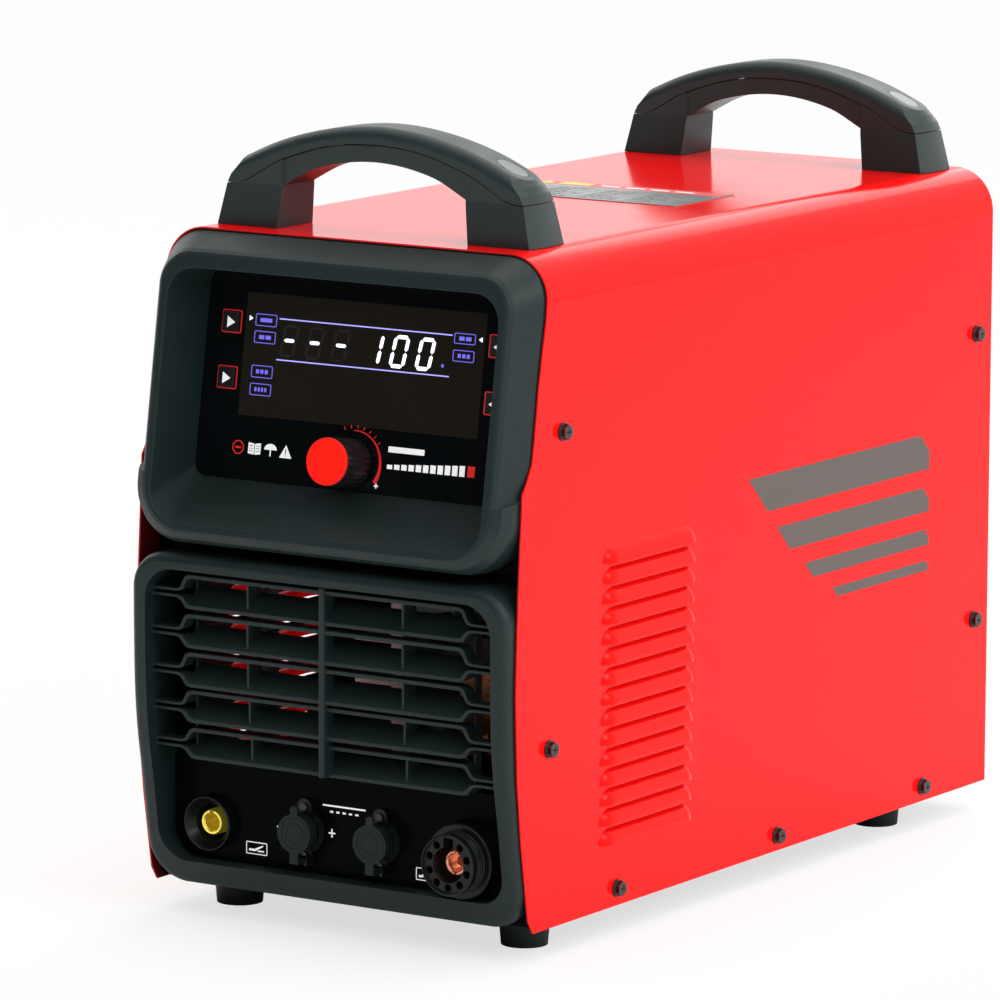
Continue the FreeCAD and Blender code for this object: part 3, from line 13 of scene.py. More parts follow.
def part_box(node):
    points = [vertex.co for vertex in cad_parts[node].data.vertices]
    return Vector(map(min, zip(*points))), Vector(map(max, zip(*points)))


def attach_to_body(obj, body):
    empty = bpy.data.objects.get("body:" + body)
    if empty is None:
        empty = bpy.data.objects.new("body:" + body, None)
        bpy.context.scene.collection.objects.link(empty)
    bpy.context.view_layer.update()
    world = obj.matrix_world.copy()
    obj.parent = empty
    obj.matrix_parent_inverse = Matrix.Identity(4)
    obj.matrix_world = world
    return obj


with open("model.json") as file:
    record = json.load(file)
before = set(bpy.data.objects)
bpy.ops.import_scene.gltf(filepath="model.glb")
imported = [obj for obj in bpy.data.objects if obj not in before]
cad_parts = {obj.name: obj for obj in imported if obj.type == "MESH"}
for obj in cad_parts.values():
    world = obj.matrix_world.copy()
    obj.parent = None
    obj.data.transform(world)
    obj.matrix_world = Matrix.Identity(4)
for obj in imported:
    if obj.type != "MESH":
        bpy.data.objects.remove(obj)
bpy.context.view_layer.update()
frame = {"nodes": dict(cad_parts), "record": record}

random.seed(7)
NODES = frame["nodes"]
MM = 0.001
TO_MM = 1000.0

# outer cover
COVER_HALF_WIDTH = 120.0
COVER_TOP = 367.0
COVER_RADIUS = 24.0
COVER_SKIN = 0.7

# control head: origin at the knob, axes across, up the panel and out of it
HEAD_TILT = math.radians(9.0)
knob_joint = next(j for j in frame["record"]["behaviour"]["joints"] if j["name"] == "knob_turn")
HEAD_ORIGIN = Vector(knob_joint["pos_m"]) * TO_MM
HEAD_ACROSS = Vector((1, 0, 0))
HEAD_UP = Vector((0, math.sin(HEAD_TILT), math.cos(HEAD_TILT)))
HEAD_OUT = Vector((0, -math.cos(HEAD_TILT), math.sin(HEAD_TILT)))
PANEL_OFFSET = -0.05
MARK_BASE = PANEL_OFFSET + 0.01
MARK_FACE = PANEL_OFFSET + 0.13


def on_head(across, up, out):
    """Point of the tilted head."""
    return HEAD_ORIGIN + HEAD_ACROSS * across + HEAD_UP * up + HEAD_OUT * out


def up_head(z):
    """Distance up the head panel at which height z is reached."""
    return (z - HEAD_ORIGIN.z) / HEAD_UP.z


# ------------------------------------------------------------------ mesh helpers

def new_object(name, points, faces, smooth):
    mesh = bpy.data.meshes.new(name)
    mesh.from_pydata([tuple(Vector(point) * MM) for point in points], [], faces)
    mesh.update()
    made = bpy.data.objects.new(name, mesh)
    bpy.context.scene.collection.objects.link(made)
    for polygon in mesh.polygons:
        polygon.use_smooth = smooth
    return made


def fix_normals(made):
    """Weld coincident points and turn all faces outward."""
    mesh = bmesh.new()
    mesh.from_mesh(made.data)
    bmesh.ops.remove_doubles(mesh, verts=mesh.verts, dist=1e-7)
    bmesh.ops.recalc_face_normals(mesh, faces=mesh.faces)
    mesh.to_mesh(made.data)
    mesh.free()


def mark_sharp(made, degrees):
    """Mark edges sharper than the given angle."""
    limit = math.radians(degrees)
    mesh = bmesh.new()
    mesh.from_mesh(made.data)
    for edge in mesh.edges:
        edge.smooth = not (len(edge.link_faces) == 2 and edge.calc_face_angle(0.0) > limit)
    mesh.to_mesh(made.data)
    mesh.free()


def attach(made, body, material):
    """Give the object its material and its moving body."""
    made.data.materials.append(MATERIALS[material])
    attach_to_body(made, body)


def lathe(name, center_x, center_y, profile, count=48):
    """Capped solid about a vertical axis, profile given as (radius, z)."""
    points = []
    for radius, z in profile:
        for k in range(count):
            angle = 2 * math.pi * k / count
            points.append((center_x + radius * math.cos(angle),
                           center_y + radius * math.sin(angle), z))
    last = (len(profile) - 1) * count
    faces = []
    for row in range(0, last, count):
        above = row + count
        for k in range(count):
            after = (k + 1) % count
            faces.append((row + k, row + after, above + after, above + k))
    faces.append(tuple(range(count))[::-1])
    faces.append(tuple(range(last, last + count)))
    made = new_object(name, points, faces, smooth=True)
    fix_normals(made)
    mark_sharp(made, 32)
    return made


def ring(center_x, center_y, radius, angles, radius_y=None):
    """Points at the given angles (degrees) of a circle or an upright ellipse."""
    radius_y = radius_y or radius
    return [(center_x + radius * math.cos(math.radians(angle)),
             center_y + radius_y * math.sin(math.radians(angle))) for angle in angles]


class Artwork:
    """Collects thin raised shapes into one mesh.

    place maps (x, y, out) to the frame; base and face are the out values of each
    shape's underside and visible side.
    """

    def __init__(self, place, base, face):
        self.place, self.base, self.face = place, base, face
        self.points, self.faces = [], []

    def add_points(self, outline, out):
        self.points += [self.place(x, y, out) for x, y in outline]

    def polygon(self, outline):
        start, count = len(self.points), len(outline)
        self.add_points(outline, self.base)
        self.add_points(outline, self.face)
        self.faces.append(tuple(range(start + count, start + 2 * count)))
        self.faces.append(tuple(range(start + count - 1, start - 1, -1)))
        for k in range(count):
            here, after = start + k, start + (k + 1) % count
            self.faces.append((here, after, count + after, count + here))

    def band(self, outer, inner):
        """Closed band between two outlines with the same number of points."""
        start, count = len(self.points), len(outer)
        for out in (self.base, self.face):
            self.add_points(outer, out)
            self.add_points(inner, out)
        for k in range(count):
            here, after = start + k, start + (k + 1) % count
            in_here, in_after = here + count, after + count
            top = 2 * count
            self.faces.append((here + top, after + top, in_after + top, in_here + top))
            self.faces.append((here, in_here, in_after, after))
            self.faces.append((here, after, after + top, here + top))
            self.faces.append((in_here, in_here + top, in_after + top, in_after))

    def strip(self, inner, outer):
        """Open band made of one quadrilateral per step."""
        for k in range(len(inner) - 1):
            self.polygon([inner[k], inner[k + 1], outer[k + 1], outer[k]])

    def box(self, left, right, bottom, top):
        self.polygon([(left, bottom), (right, bottom), (right, top), (left, top)])

    def boxes(self, table, middle=0.0):
        """Rows of left, right, bottom, top; the last two measured from middle."""
        for left, right, bottom, top in table:
            self.box(left, right, middle + bottom, middle + top)

    def rounded_frame(self, left, right, bottom, top, radius, width, steps=5):
        def outline(inset, radius):
            x_low, x_high = left + inset + radius, right - inset - radius
            y_low, y_high = bottom + inset + radius, top - inset - radius
            points = []
            for x, y, start in ((x_high, y_high, 0), (x_low, y_high, 90),
                                (x_low, y_low, 180), (x_high, y_low, 270)):
                angles = [start + 90.0 * k / steps for k in range(steps + 1)]
                points += ring(x, y, radius, angles)
            return points
        self.band(outline(0.0, radius), outline(width, max(radius - width, 0.05)))

    def ray(self, x, y, degrees, inner, outer, width, outer_width=None):
        """Radial bar about (x, y) from the inner to the outer radius."""
        cos, sin = math.cos(math.radians(degrees)), math.sin(math.radians(degrees))
        near, far = width / 2, (outer_width or width) / 2
        corners = ((inner, near), (inner, -near), (outer, -far), (outer, far))
        self.polygon([(x + along * cos - side * sin, y + along * sin + side * cos)
                      for along, side in corners])

    def make(self, name, slot_name, material, body="unit"):
        made = new_object(name, self.points, self.faces, smooth=False)
        fix_normals(made)
        attach(made, body, material)


def head_artwork(base=MARK_BASE, face=MARK_FACE):
    return Artwork(on_head, base, face)


# ------------------------------------------------------------------ shader helpers

def add_node(tree, kind, inputs, **settings):
    """New shader node; an input is given a value, or linked if it is a socket."""
    made = tree.nodes.new("ShaderNode" + kind)
    for setting, value in settings.items():
        setattr(made, setting, value)
    for key, value in inputs.items():
        if isinstance(value, bpy.types.NodeSocket):
            tree.links.new(value, made.inputs[key])
        else:
            made.inputs[key].default_value = value
    return made


def find_node(tree, kind):
    return next(n for n in tree.nodes if n.type == kind)


def object_coords(tree):
    return add_node(tree, "TexCoord", {}).outputs["Object"]


def noise(tree, coords, scale, detail):
    inputs = {"Scale": scale, "Detail": detail, "Vector": coords}
    return add_node(tree, "TexNoise", inputs).outputs[0]


def map_range(tree, value, source, target=(0.0, 1.0), **settings):
    inputs = {"Value": value, "From Min": source[0], "From Max": source[1],
              "To Min": target[0], "To Max": target[1]}
    return add_node(tree, "MapRange", inputs, **settings).outputs[0]


def mix_color(tree, factor, first, second):
    inputs = {"Factor": factor, "A": first, "B": second}
    return add_node(tree, "Mix", inputs, data_type="RGBA").outputs["Result"]


def multiply(tree, first, second, **settings):
    inputs = {0: first, 1: second}
    return add_node(tree, "Math", inputs, operation="MULTIPLY", **settings).outputs[0]


def vector_math(tree, operation, *values, output=0):
    made = add_node(tree, "VectorMath", dict(enumerate(values)), operation=operation)
    return made.outputs[output]


def bump(tree, height, strength, normal):
    inputs = {"Strength": strength, "Distance": 0.0002, "Height": height}
    if normal:
        inputs["Normal"] = normal
    return add_node(tree, "Bump", inputs).outputs[0]


def distance_beyond(tree, half_size):
    """Distance of a point outside a box of this half size about the origin."""
    size = vector_math(tree, "ABSOLUTE", object_coords(tree))
    beyond = vector_math(tree, "SUBTRACT", size, half_size)
    outside = vector_math(tree, "MAXIMUM", beyond, (0.0, 0.0, 0.0))
    return vector_math(tree, "LENGTH", outside, output="Value")


def worn_and_highlit_edges(tree, coords, color, edge_wear_and_highlight, edge_wear_and_highlight_color, radius):
    """Blend the edge colour in at patchy edges: edge wear on most materials, a painted edge
    highlight on the charcoal moulding; also return the rounded normal.
    """
    surface = add_node(tree, "NewGeometry", {}).outputs["Normal"]
    rounded = add_node(tree, "Bevel", {"Radius": radius}, samples=3).outputs[0]
    facing = vector_math(tree, "DOT_PRODUCT", rounded, surface, output="Value")
    edge = map_range(tree, facing, source=(0.995, 0.90))
    patches = multiply(tree, edge, noise(tree, coords, scale=70.0, detail=8.0))
    amount = multiply(tree, patches, edge_wear_and_highlight * 2.0, use_clamp=True)
    return mix_color(tree, amount, color, edge_wear_and_highlight_color + (1,)), rounded


def settled_dust(tree, coords, color, dust):
    """Blend patchy grey dust in on faces that look up."""
    surface = add_node(tree, "NewGeometry", {}).outputs["Normal"]
    upward = add_node(tree, "SeparateXYZ", {0: surface}).outputs["Z"]
    amount = map_range(tree, upward, source=(0.4, 1.0), target=(0.0, dust))
    patches = multiply(tree, amount, noise(tree, coords, scale=45.0, detail=6.0))
    return mix_color(tree, patches, color, (0.45, 0.44, 0.42, 1))


def finish(name, color, *, rough, metal=0.0, vary=0.05, vary_scale=9.0, rough_vary=0.06,
           grain=0.0, grain_scale=1500.0, edge_wear_and_highlight=0.0, edge_wear_and_highlight_color=None, specular=0.5,
           coat=0.0, coat_rough=0.1, glow_color=None, glow=0.0, transmission=0.0,
           brush=None, dust=0.0, soft_edge=0.0):
    """Procedural material.

    vary and rough_vary: spread of colour and roughness, in patches set by vary_scale
    grain: strength of the fine relief; brush: noise scale along each axis of brushed relief
    edge tint: amount and colour blended in at patchy edges, edge wear on most materials and a
    painted edge highlight on the charcoal moulding; soft_edge: radius in metres of shaded edge
    rounding
    dust: dust on upward faces; glow: emission strength
    """
    material = bpy.data.materials.new(name)
    material.use_nodes = True
    tree = material.node_tree
    tree.nodes.clear()
    coords = object_coords(tree)

    spread = map_range(tree, noise(tree, coords, vary_scale, detail=5.0), source=(0.3, 0.7))
    dark = tuple(max(0.0, c * (1 - vary)) for c in color) + (1,)
    light = tuple(min(1.0, c * (1 + vary)) for c in color) + (1,)
    shade = mix_color(tree, spread, dark, light)
    normal = None
    if edge_wear_and_highlight > 0:
        shade, rounded = worn_and_highlit_edges(tree, coords, shade, edge_wear_and_highlight, edge_wear_and_highlight_color, soft_edge or 0.0007)
        if soft_edge > 0:
            normal = rounded
    if dust > 0:
        shade = settled_dust(tree, coords, shade, dust)

    rough_range = (max(0.02, rough - rough_vary), min(1.0, rough + rough_vary))
    rough_noise = noise(tree, coords, vary_scale * 4.3, detail=6.0)
    inputs = {
        "Base Color": shade,
        "Roughness": map_range(tree, rough_noise, source=(0.3, 0.7), target=rough_range),
        "Metallic": metal,
        "Specular IOR Level": specular,
        "Coat Weight": coat,
        "Coat Roughness": coat_rough,
        "Transmission Weight": transmission,
    }
    if glow_color:
        inputs["Emission Color"] = glow_color + (1,)
        inputs["Emission Strength"] = glow
    if grain > 0:
        normal = bump(tree, noise(tree, coords, grain_scale, detail=3.0), grain, normal)
    if brush:
        stretched = add_node(tree, "Mapping", {"Scale": brush, "Vector": coords}).outputs[0]
        normal = bump(tree, noise(tree, stretched, scale=1.0, detail=4.0), 0.25, normal)
    if normal:
        inputs["Normal"] = normal
        if coat > 0:
            inputs["Coat Normal"] = normal
    principled = add_node(tree, "BsdfPrincipled", inputs)
    add_node(tree, "OutputMaterial", {0: principled.outputs[0]})
    return material


# ------------------------------------------------------------------ materials

MATERIALS = {
    # cabinet and head
    "red_paint": finish(
        "red_powder_coat", (0.88, 0.0048, 0.0042), rough=0.13, vary=0.02, rough_vary=0.02,
        grain=0.03, grain_scale=1900, edge_wear_and_highlight=0.10, edge_wear_and_highlight_color=(0.93, 0.07, 0.05), specular=0.105),
    "black_paint": finish(
        "black_powder_coat", (0.0016, 0.0024, 0.0024), rough=0.24, vary=0.15, rough_vary=0.03,
        grain=0.10, grain_scale=1600, edge_wear_and_highlight=0.2, edge_wear_and_highlight_color=(0.03, 0.03, 0.035), specular=0.02),
    "rear_coat": finish(
        "satin_rear_coat", (0.010, 0.0115, 0.012), rough=0.40, vary=0.12, grain=0.30,
        edge_wear_and_highlight=0.25, edge_wear_and_highlight_color=(0.07, 0.07, 0.075), specular=0.3),
    "zinc_sheet": finish(
        "zinc_plated_sheet", (0.52, 0.54, 0.56), rough=0.34, metal=1.0, vary=0.12,
        vary_scale=26, rough_vary=0.12, brush=(20, 700, 700)),
    # the pale edge tint on the charcoal moulding is a painted highlight along the bezel crests
    "shell_plastic": finish(
        "charcoal_moulding", (0.0095, 0.0195, 0.0195), rough=0.42, vary=0.10, rough_vary=0.05,
        grain=0.45, grain_scale=2300, edge_wear_and_highlight=0.55, edge_wear_and_highlight_color=(0.045, 0.062, 0.062),
        specular=0.26, dust=0.02, soft_edge=0.0008),
    "panel_film": finish(
        "black_overlay", (0.0022, 0.0034, 0.0042), rough=0.16, vary=0.2, rough_vary=0.03,
        grain=0.08, grain_scale=3000, specular=0.14),
    "screen_tint": finish(
        "tinted_window", (0.014, 0.011, 0.007), rough=0.07, vary=0.08, rough_vary=0.03,
        grain=0.02, grain_scale=2600, edge_wear_and_highlight=0.1, edge_wear_and_highlight_color=(0.05, 0.05, 0.05),
        coat=0.6, coat_rough=0.02),
    "board_green": finish(
        "circuit_laminate", (0.015, 0.12, 0.04), rough=0.42, vary=0.35, vary_scale=160,
        grain=0.3, grain_scale=1800),
    "key_plastic": finish(
        "black_key", (0.010, 0.010, 0.011), rough=0.28, vary=0.2, grain=0.15,
        grain_scale=2600, edge_wear_and_highlight=0.3, edge_wear_and_highlight_color=(0.10, 0.10, 0.10)),
    "knob_black": finish(
        "knob_moulding", (0.010, 0.010, 0.012), rough=0.20, vary=0.2, grain=0.2,
        grain_scale=2600, edge_wear_and_highlight=0.35, edge_wear_and_highlight_color=(0.10, 0.10, 0.10)),
    # the glow of the red insert is painted light; the knob holds no lamp
    "knob_red": finish(
        "knob_insert", (0.90, 0.010, 0.005), rough=0.30, vary=0.04, grain=0.10,
        grain_scale=2400, edge_wear_and_highlight=0.15, edge_wear_and_highlight_color=(0.95, 0.2, 0.15), specular=0.2,
        glow_color=(0.9, 0.012, 0.004), glow=0.30),

    # sockets, fasteners and small fittings
    "socket_black": finish(
        "socket_moulding", (0.0045, 0.0058, 0.0060), rough=0.27, vary=0.2, rough_vary=0.04,
        grain=0.12, grain_scale=2200, edge_wear_and_highlight=0.3, edge_wear_and_highlight_color=(0.05, 0.052, 0.053),
        specular=0.22, soft_edge=0.0004),
    # the glow is a painted reflection that brightens the brass contacts
    "brass": finish(
        "turned_brass", (0.82, 0.66, 0.10), rough=0.24, metal=1.0, vary=0.12, vary_scale=90,
        rough_vary=0.08, grain=0.08, grain_scale=900, edge_wear_and_highlight=0.3, edge_wear_and_highlight_color=(0.95, 0.9, 0.5),
        glow_color=(0.80, 0.66, 0.06), glow=0.08),
    # the glow is painted light on the bare copper
    "copper": finish(
        "bare_copper", (0.88, 0.40, 0.26), rough=0.26, metal=1.0, vary=0.18, vary_scale=120,
        rough_vary=0.10, grain=0.12, grain_scale=900, edge_wear_and_highlight=0.3, edge_wear_and_highlight_color=(0.95, 0.7, 0.55),
        glow_color=(0.75, 0.24, 0.12), glow=0.06),
    "rubber_black": finish(
        "moulded_rubber", (0.0075, 0.0130, 0.0130), rough=0.46, vary=0.15, grain=0.30,
        grain_scale=1900, edge_wear_and_highlight=0.25, edge_wear_and_highlight_color=(0.05, 0.06, 0.06), specular=0.22,
        dust=0.02, soft_edge=0.0005),
    "screw_black": finish(
        "black_oxide_steel", (0.009, 0.006, 0.0065), rough=0.20, metal=0.15, vary=0.3,
        vary_scale=200, edge_wear_and_highlight=0.7, edge_wear_and_highlight_color=(0.26, 0.19, 0.19), grain=0.10,
        soft_edge=0.0004),
    "steel_plain": finish(
        "bright_steel", (0.60, 0.60, 0.61), rough=0.28, metal=1.0, vary=0.1, vary_scale=90,
        rough_vary=0.1, grain=0.1, grain_scale=900),
    "label_grey": finish(
        "label_film", (0.16, 0.175, 0.175), rough=0.26, vary=0.04, grain=0.05,
        grain_scale=2000, edge_wear_and_highlight=0.1, edge_wear_and_highlight_color=(0.4, 0.4, 0.4)),
    "fan_plastic": finish(
        "glass_filled_plastic", (0.016, 0.016, 0.017), rough=0.5, vary=0.2, grain=0.3,
        grain_scale=1700, edge_wear_and_highlight=0.3, edge_wear_and_highlight_color=(0.08, 0.08, 0.08)),
    "wire_chrome": finish(
        "plated_wire", (0.72, 0.72, 0.74), rough=0.14, metal=1.0, vary=0.06, vary_scale=120,
        rough_vary=0.05),
    "switch_grey": finish(
        "grey_moulding", (0.26, 0.27, 0.28), rough=0.42, vary=0.06, grain=0.25,
        grain_scale=2200, edge_wear_and_highlight=0.2, edge_wear_and_highlight_color=(0.5, 0.5, 0.5)),
    "switch_black": finish(
        "black_moulding", (0.016, 0.016, 0.018), rough=0.38, vary=0.15, grain=0.25,
        grain_scale=2200, edge_wear_and_highlight=0.35, edge_wear_and_highlight_color=(0.09, 0.09, 0.09)),
    "regulator_metal": finish(
        "silver_casting", (0.52, 0.53, 0.55), rough=0.38, metal=0.85, vary=0.10,
        vary_scale=60, grain=0.3, grain_scale=900, edge_wear_and_highlight=0.2, edge_wear_and_highlight_color=(0.85, 0.85, 0.85)),
    "bowl_clear": finish(
        "clear_bowl", (0.86, 0.92, 0.95), rough=0.07, vary=0.02, rough_vary=0.02,
        transmission=0.92),
    "gauge_white": finish(
        "white_dial", (0.80, 0.80, 0.78), rough=0.45, vary=0.02, grain=0.05,
        grain_scale=1800),
    "hose_blue": finish(
        "blue_tube", (0.015, 0.065, 0.36), rough=0.28, vary=0.08, vary_scale=60,
        grain=0.08, grain_scale=900),

    # inner parts and leads
    "alu_sink": finish(
        "extruded_aluminium", (0.62, 0.63, 0.65), rough=0.36, metal=1.0, vary=0.06,
        vary_scale=50, brush=(900, 12, 900)),
    "module_black": finish(
        "moulded_package", (0.018, 0.018, 0.019), rough=0.45, vary=0.2, grain=0.3,
        grain_scale=1800),
    "core_grey": finish(
        "ferrite", (0.055, 0.055, 0.06), rough=0.5, vary=0.25, vary_scale=90, grain=0.5,
        grain_scale=1100),
    "winding": finish(
        "enamelled_copper", (0.72, 0.26, 0.09), rough=0.24, metal=0.9, vary=0.2,
        vary_scale=160, brush=(1400, 40, 1400)),
    "cap_sleeve": finish(
        "capacitor_sleeve", (0.012, 0.02, 0.075), rough=0.3, vary=0.1, grain=0.08,
        grain_scale=900),
    "gauge_clear": finish(
        "gauge_lens", (0.92, 0.95, 0.97), rough=0.03, vary=0.01, rough_vary=0.01,
        transmission=0.95),
    "lead_black": finish(
        "cable_sheath", (0.018, 0.018, 0.018), rough=0.5, vary=0.2, grain=0.3,
        grain_scale=1300),
    "plug_gloss": finish(
        "smooth_plug", (0.050, 0.058, 0.060), rough=0.22, vary=0.08, grain=0.06,
        edge_wear_and_highlight=0.2, edge_wear_and_highlight_color=(0.15, 0.16, 0.16)),

    # inks
    # the glow is painted light that brightens the white print
    "ink_white": finish(
        "white_ink", (0.82, 0.83, 0.84), rough=0.4, vary=0.04, grain=0.05,
        glow_color=(0.85, 0.86, 0.86), glow=0.40),
    # the glow is painted light on the red print
    "ink_red": finish(
        "red_ink", (0.80, 0.020, 0.015), rough=0.35, grain=0.05,
        glow_color=(0.9, 0.02, 0.01), glow=0.10),
    "ink_grey": finish(
        "grey_ink", (0.112, 0.094, 0.086), rough=0.34, vary=0.03, rough_vary=0.02,
        grain=0.02, grain_scale=1900, specular=0.12),
    "ink_yellow": finish(
        "yellow_ink", (0.80, 0.58, 0.04), rough=0.4, vary=0.04, grain=0.05),
    "ink_dark": finish(
        "dark_ink", (0.03, 0.03, 0.03), rough=0.4, vary=0.1, grain=0.05),

    # display segments
    "led_violet": finish(
        "violet_segments", (0.05, 0.04, 0.3), rough=0.3,
        glow_color=(0.20, 0.17, 0.90), glow=0.85),
    "led_white": finish(
        "white_segments", (0.3, 0.3, 0.5), rough=0.3, glow_color=(0.86, 0.86, 1.0), glow=1.9),
    "led_off": finish("unlit_segments", (0.0165, 0.0145, 0.011), rough=0.3),
    "led_line": finish(
        "bright_violet_lines", (0.1, 0.1, 0.4), rough=0.3,
        glow_color=(0.42, 0.38, 1.0), glow=1.25),

    "handle_plastic": finish(
        "carry_handle_moulding", (0.0165, 0.0295, 0.0290), rough=0.40, vary=0.08,
        rough_vary=0.05, grain=0.40, grain_scale=2300, edge_wear_and_highlight=0.25,
        edge_wear_and_highlight_color=(0.07, 0.085, 0.085), specular=0.36, dust=0.02, soft_edge=0.0008),
}


def paint_shade_inside_cover():
    """Painted shade: the cover sheet's inner skin gets a dark red that stands in for the shade
    inside the cabinet.
    """
    tree = MATERIALS["red_paint"].node_tree
    base_color = find_node(tree, "BSDF_PRINCIPLED").inputs["Base Color"]
    outside_color = base_color.links[0].from_socket
    # the core box is very deep in y, so only the sides and the top count
    core = ((COVER_HALF_WIDTH - COVER_RADIUS) * MM, 10.0, (COVER_TOP - COVER_RADIUS) * MM)
    inside = add_node(tree, "Math", {
        0: distance_beyond(tree, core),
        1: (COVER_RADIUS - COVER_SKIN) * MM,
    }, operation="LESS_THAN").outputs[0]
    # dark red painted shade for the inner skin
    shade = mix_color(tree, inside, outside_color, (0.10, 0.006, 0.006, 1))
    tree.links.new(shade, base_color)


HANDLES = ("front_handle_body", "front_handle_grip", "rear_handle_body", "rear_handle_grip")


def refill_slots(node, material):
    for material_slot in node.material_slots:
        material_slot.link = "OBJECT"
        material_slot.material = material


def paint_frame():
    """Give every loaded piece its material."""
    slot_of = {part["node"]: part["material_slot"] for part in frame["record"]["subparts"]}
    for name, node in NODES.items():
        if name == "rear_panel":
            refill_slots(node, MATERIALS["rear_coat"])
            continue
        key = "handle_plastic" if name in HANDLES else slot_of.get(name)
        if key not in MATERIALS:
            continue
        if node.material_slots:
            refill_slots(node, MATERIALS[key])
        else:
            node.data.materials.append(MATERIALS[key])


# ------------------------------------------------------------------ display

FIGURE_BOTTOM = up_head(300.7)
FIGURE_HEIGHT = up_head(317.8) - FIGURE_BOTTOM
FIGURE_SLANT = 0.165
BAR_GAP = 0.35
ONE, ZERO = "bc", "abcdef"
PLACE_PITCH = 16.2
FIRST_PLACE = -46.7


def figure(art, left, width, stroke, lit):
    """Slanted seven-segment figure; lit names the segments to draw."""
    half = stroke / 2
    right, top, middle = width - half, FIGURE_HEIGHT - half, FIGURE_HEIGHT / 2.0
    bars = {
        "a": (half, top, right, top),
        "b": (right, top, right, middle),
        "c": (right, middle, right, half),
        "d": (right, half, half, half),
        "e": (half, half, half, middle),
        "f": (half, middle, half, top),
        "g": (half, middle, right, middle),
    }
    # segment d runs right to left; the line below leaves it as it is
    bars["d"] = (half, half, right, half) if False else bars["d"]
    for segment in lit:
        x_start, y_start, x_end, y_end = bars[segment]
        span = math.hypot(x_end - x_start, y_end - y_start)
        x_dir, y_dir = (x_end - x_start) / span, (y_end - y_start) / span
        far = span - BAR_GAP
        outline = []
        for along, side in ((BAR_GAP, 0.0), (BAR_GAP + half, half), (far - half, half),
                            (far, 0.0), (far - half, -half), (BAR_GAP + half, -half)):
            x = x_start + x_dir * along - y_dir * side
            y = y_start + y_dir * along + x_dir * side
            outline.append((left + x + FIGURE_SLANT * y, FIGURE_BOTTOM + y))
        art.polygon(outline)


def display_bright_segments():
    art = head_artwork()
    # left edge, width, segments
    for left, width, lit in ((2.9, 7.6, ONE), (16.6, 9.8, ZERO), (32.8, 9.8, ZERO)):
        figure(art, left, width, stroke=2.0, lit=lit)
    # dashes
    low, middle, high = up_head(308.5), up_head(309.4), up_head(310.3)
    for x in (FIRST_PLACE, -30.6, -13.9):
        art.polygon([(x - 3.3, middle), (x - 2.4, high), (x + 2.4, high),
                     (x + 3.3, middle), (x + 2.4, low), (x - 2.4, low)])
    # small triangles at both sides, pointing inward
    for base, tip in ((-73.1, -71.0), (73.5, 71.4)):
        art.polygon([(base, up_head(318.0)), (tip, up_head(319.3)), (base, up_head(320.6))])
    art.make("display_bright_segments", "screen_tint", "led_white")


# left, right, lower z, upper z, bars inside
DISPLAY_FRAMES = [
    (-69.2, -55.6, 315.6, 322.0, 1),
    (-69.2, -55.6, 306.7, 313.1, 2),
    (-69.2, -55.6, 288.7, 295.2, 3),
    (-69.2, -55.6, 279.5, 285.8, 4),
    (56.1, 69.3, 316.2, 321.8, 2),
    (56.1, 69.3, 307.1, 313.1, 3),
]
FRAME_BARS_WIDTH = 8.4
FRAME_BAR_GAP = 0.9


def display_violet_marks():
    art = head_artwork()
    for left, right, z_low, z_high, count in DISPLAY_FRAMES:
        bottom, top = up_head(z_low), up_head(z_high)
        art.rounded_frame(left, right, bottom, top, radius=0.9, width=0.42)
        middle = (bottom + top) / 2
        pitch = FRAME_BARS_WIDTH / count
        for k in range(count):
            bar = left + 2.6 + k * pitch + FRAME_BAR_GAP / 2
            art.box(bar, bar + pitch - FRAME_BAR_GAP, middle - 1.05, middle + 1.05)
    art.box(49.6, 51.0, up_head(303.4), up_head(305.0))
    art.make("display_violet_marks", "screen_tint", "led_violet")


def display_violet_lines():
    art = head_artwork()
    for z in (320.3, 299.0):
        art.box(-54.0, 54.8, up_head(z) - 0.30, up_head(z) + 0.30)
    art.make("display_violet_lines", "screen_tint", "led_line")


def display_unlit_segments():
    art = head_artwork(face=MARK_FACE - 0.06)
    for k in range(3):
        center = FIRST_PLACE + PLACE_PITCH * k
        left = center - 4.8 - FIGURE_SLANT * FIGURE_HEIGHT / 2
        figure(art, left, width=9.6, stroke=1.5, lit=ZERO)
    art.make("display_unlit_segments", "screen_tint", "led_off")


# ------------------------------------------------------------------ keys

def key_outlines():
    art = head_artwork()
    for left, right in ((-90.5, -77.9), (77.9, 90.5)):
        for z_low, z_high in ((310.65, 322.8), (281.4, 293.5)):
            art.rounded_frame(left, right, up_head(z_low), up_head(z_high),
                              radius=1.1, width=0.62)
    art.make("key_outlines", "panel_film", "ink_red")


def key_pointers():
    """A triangle on each key, pointing to the middle of the head."""
    for place, inward in (("upper_left", 1), ("lower_left", 1),
                          ("upper_right", -1), ("lower_right", -1)):
        low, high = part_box("button_" + place)
        center = (Vector(low) + Vector(high)) * 0.5 * TO_MM
        offset = Vector((0, center.y, center.z)) - Vector((0, HEAD_ORIGIN.y, HEAD_ORIGIN.z))
        up = offset.dot(HEAD_UP)
        base = center.x - inward * 2.0
        outline = [(base, up - 3.1), (base, up + 3.1), (center.x + inward * 3.0, up)]
        if inward < 0:
            outline = [outline[0], outline[2], outline[1]]
        art = head_artwork(base=1.2, face=1.27)
        art.polygon(outline)
        body = "key_" + place
        art.make("pointer_" + body, "key_plastic", "ink_white", body)


# ------------------------------------------------------------------ lower panel marks

SCALE_X = 0.3
SCALE_RADIUS = 16.9
SCALE_STEPS = 30
SIGN_UP = up_head(251.8)
PLUS_UP = up_head(239.3)

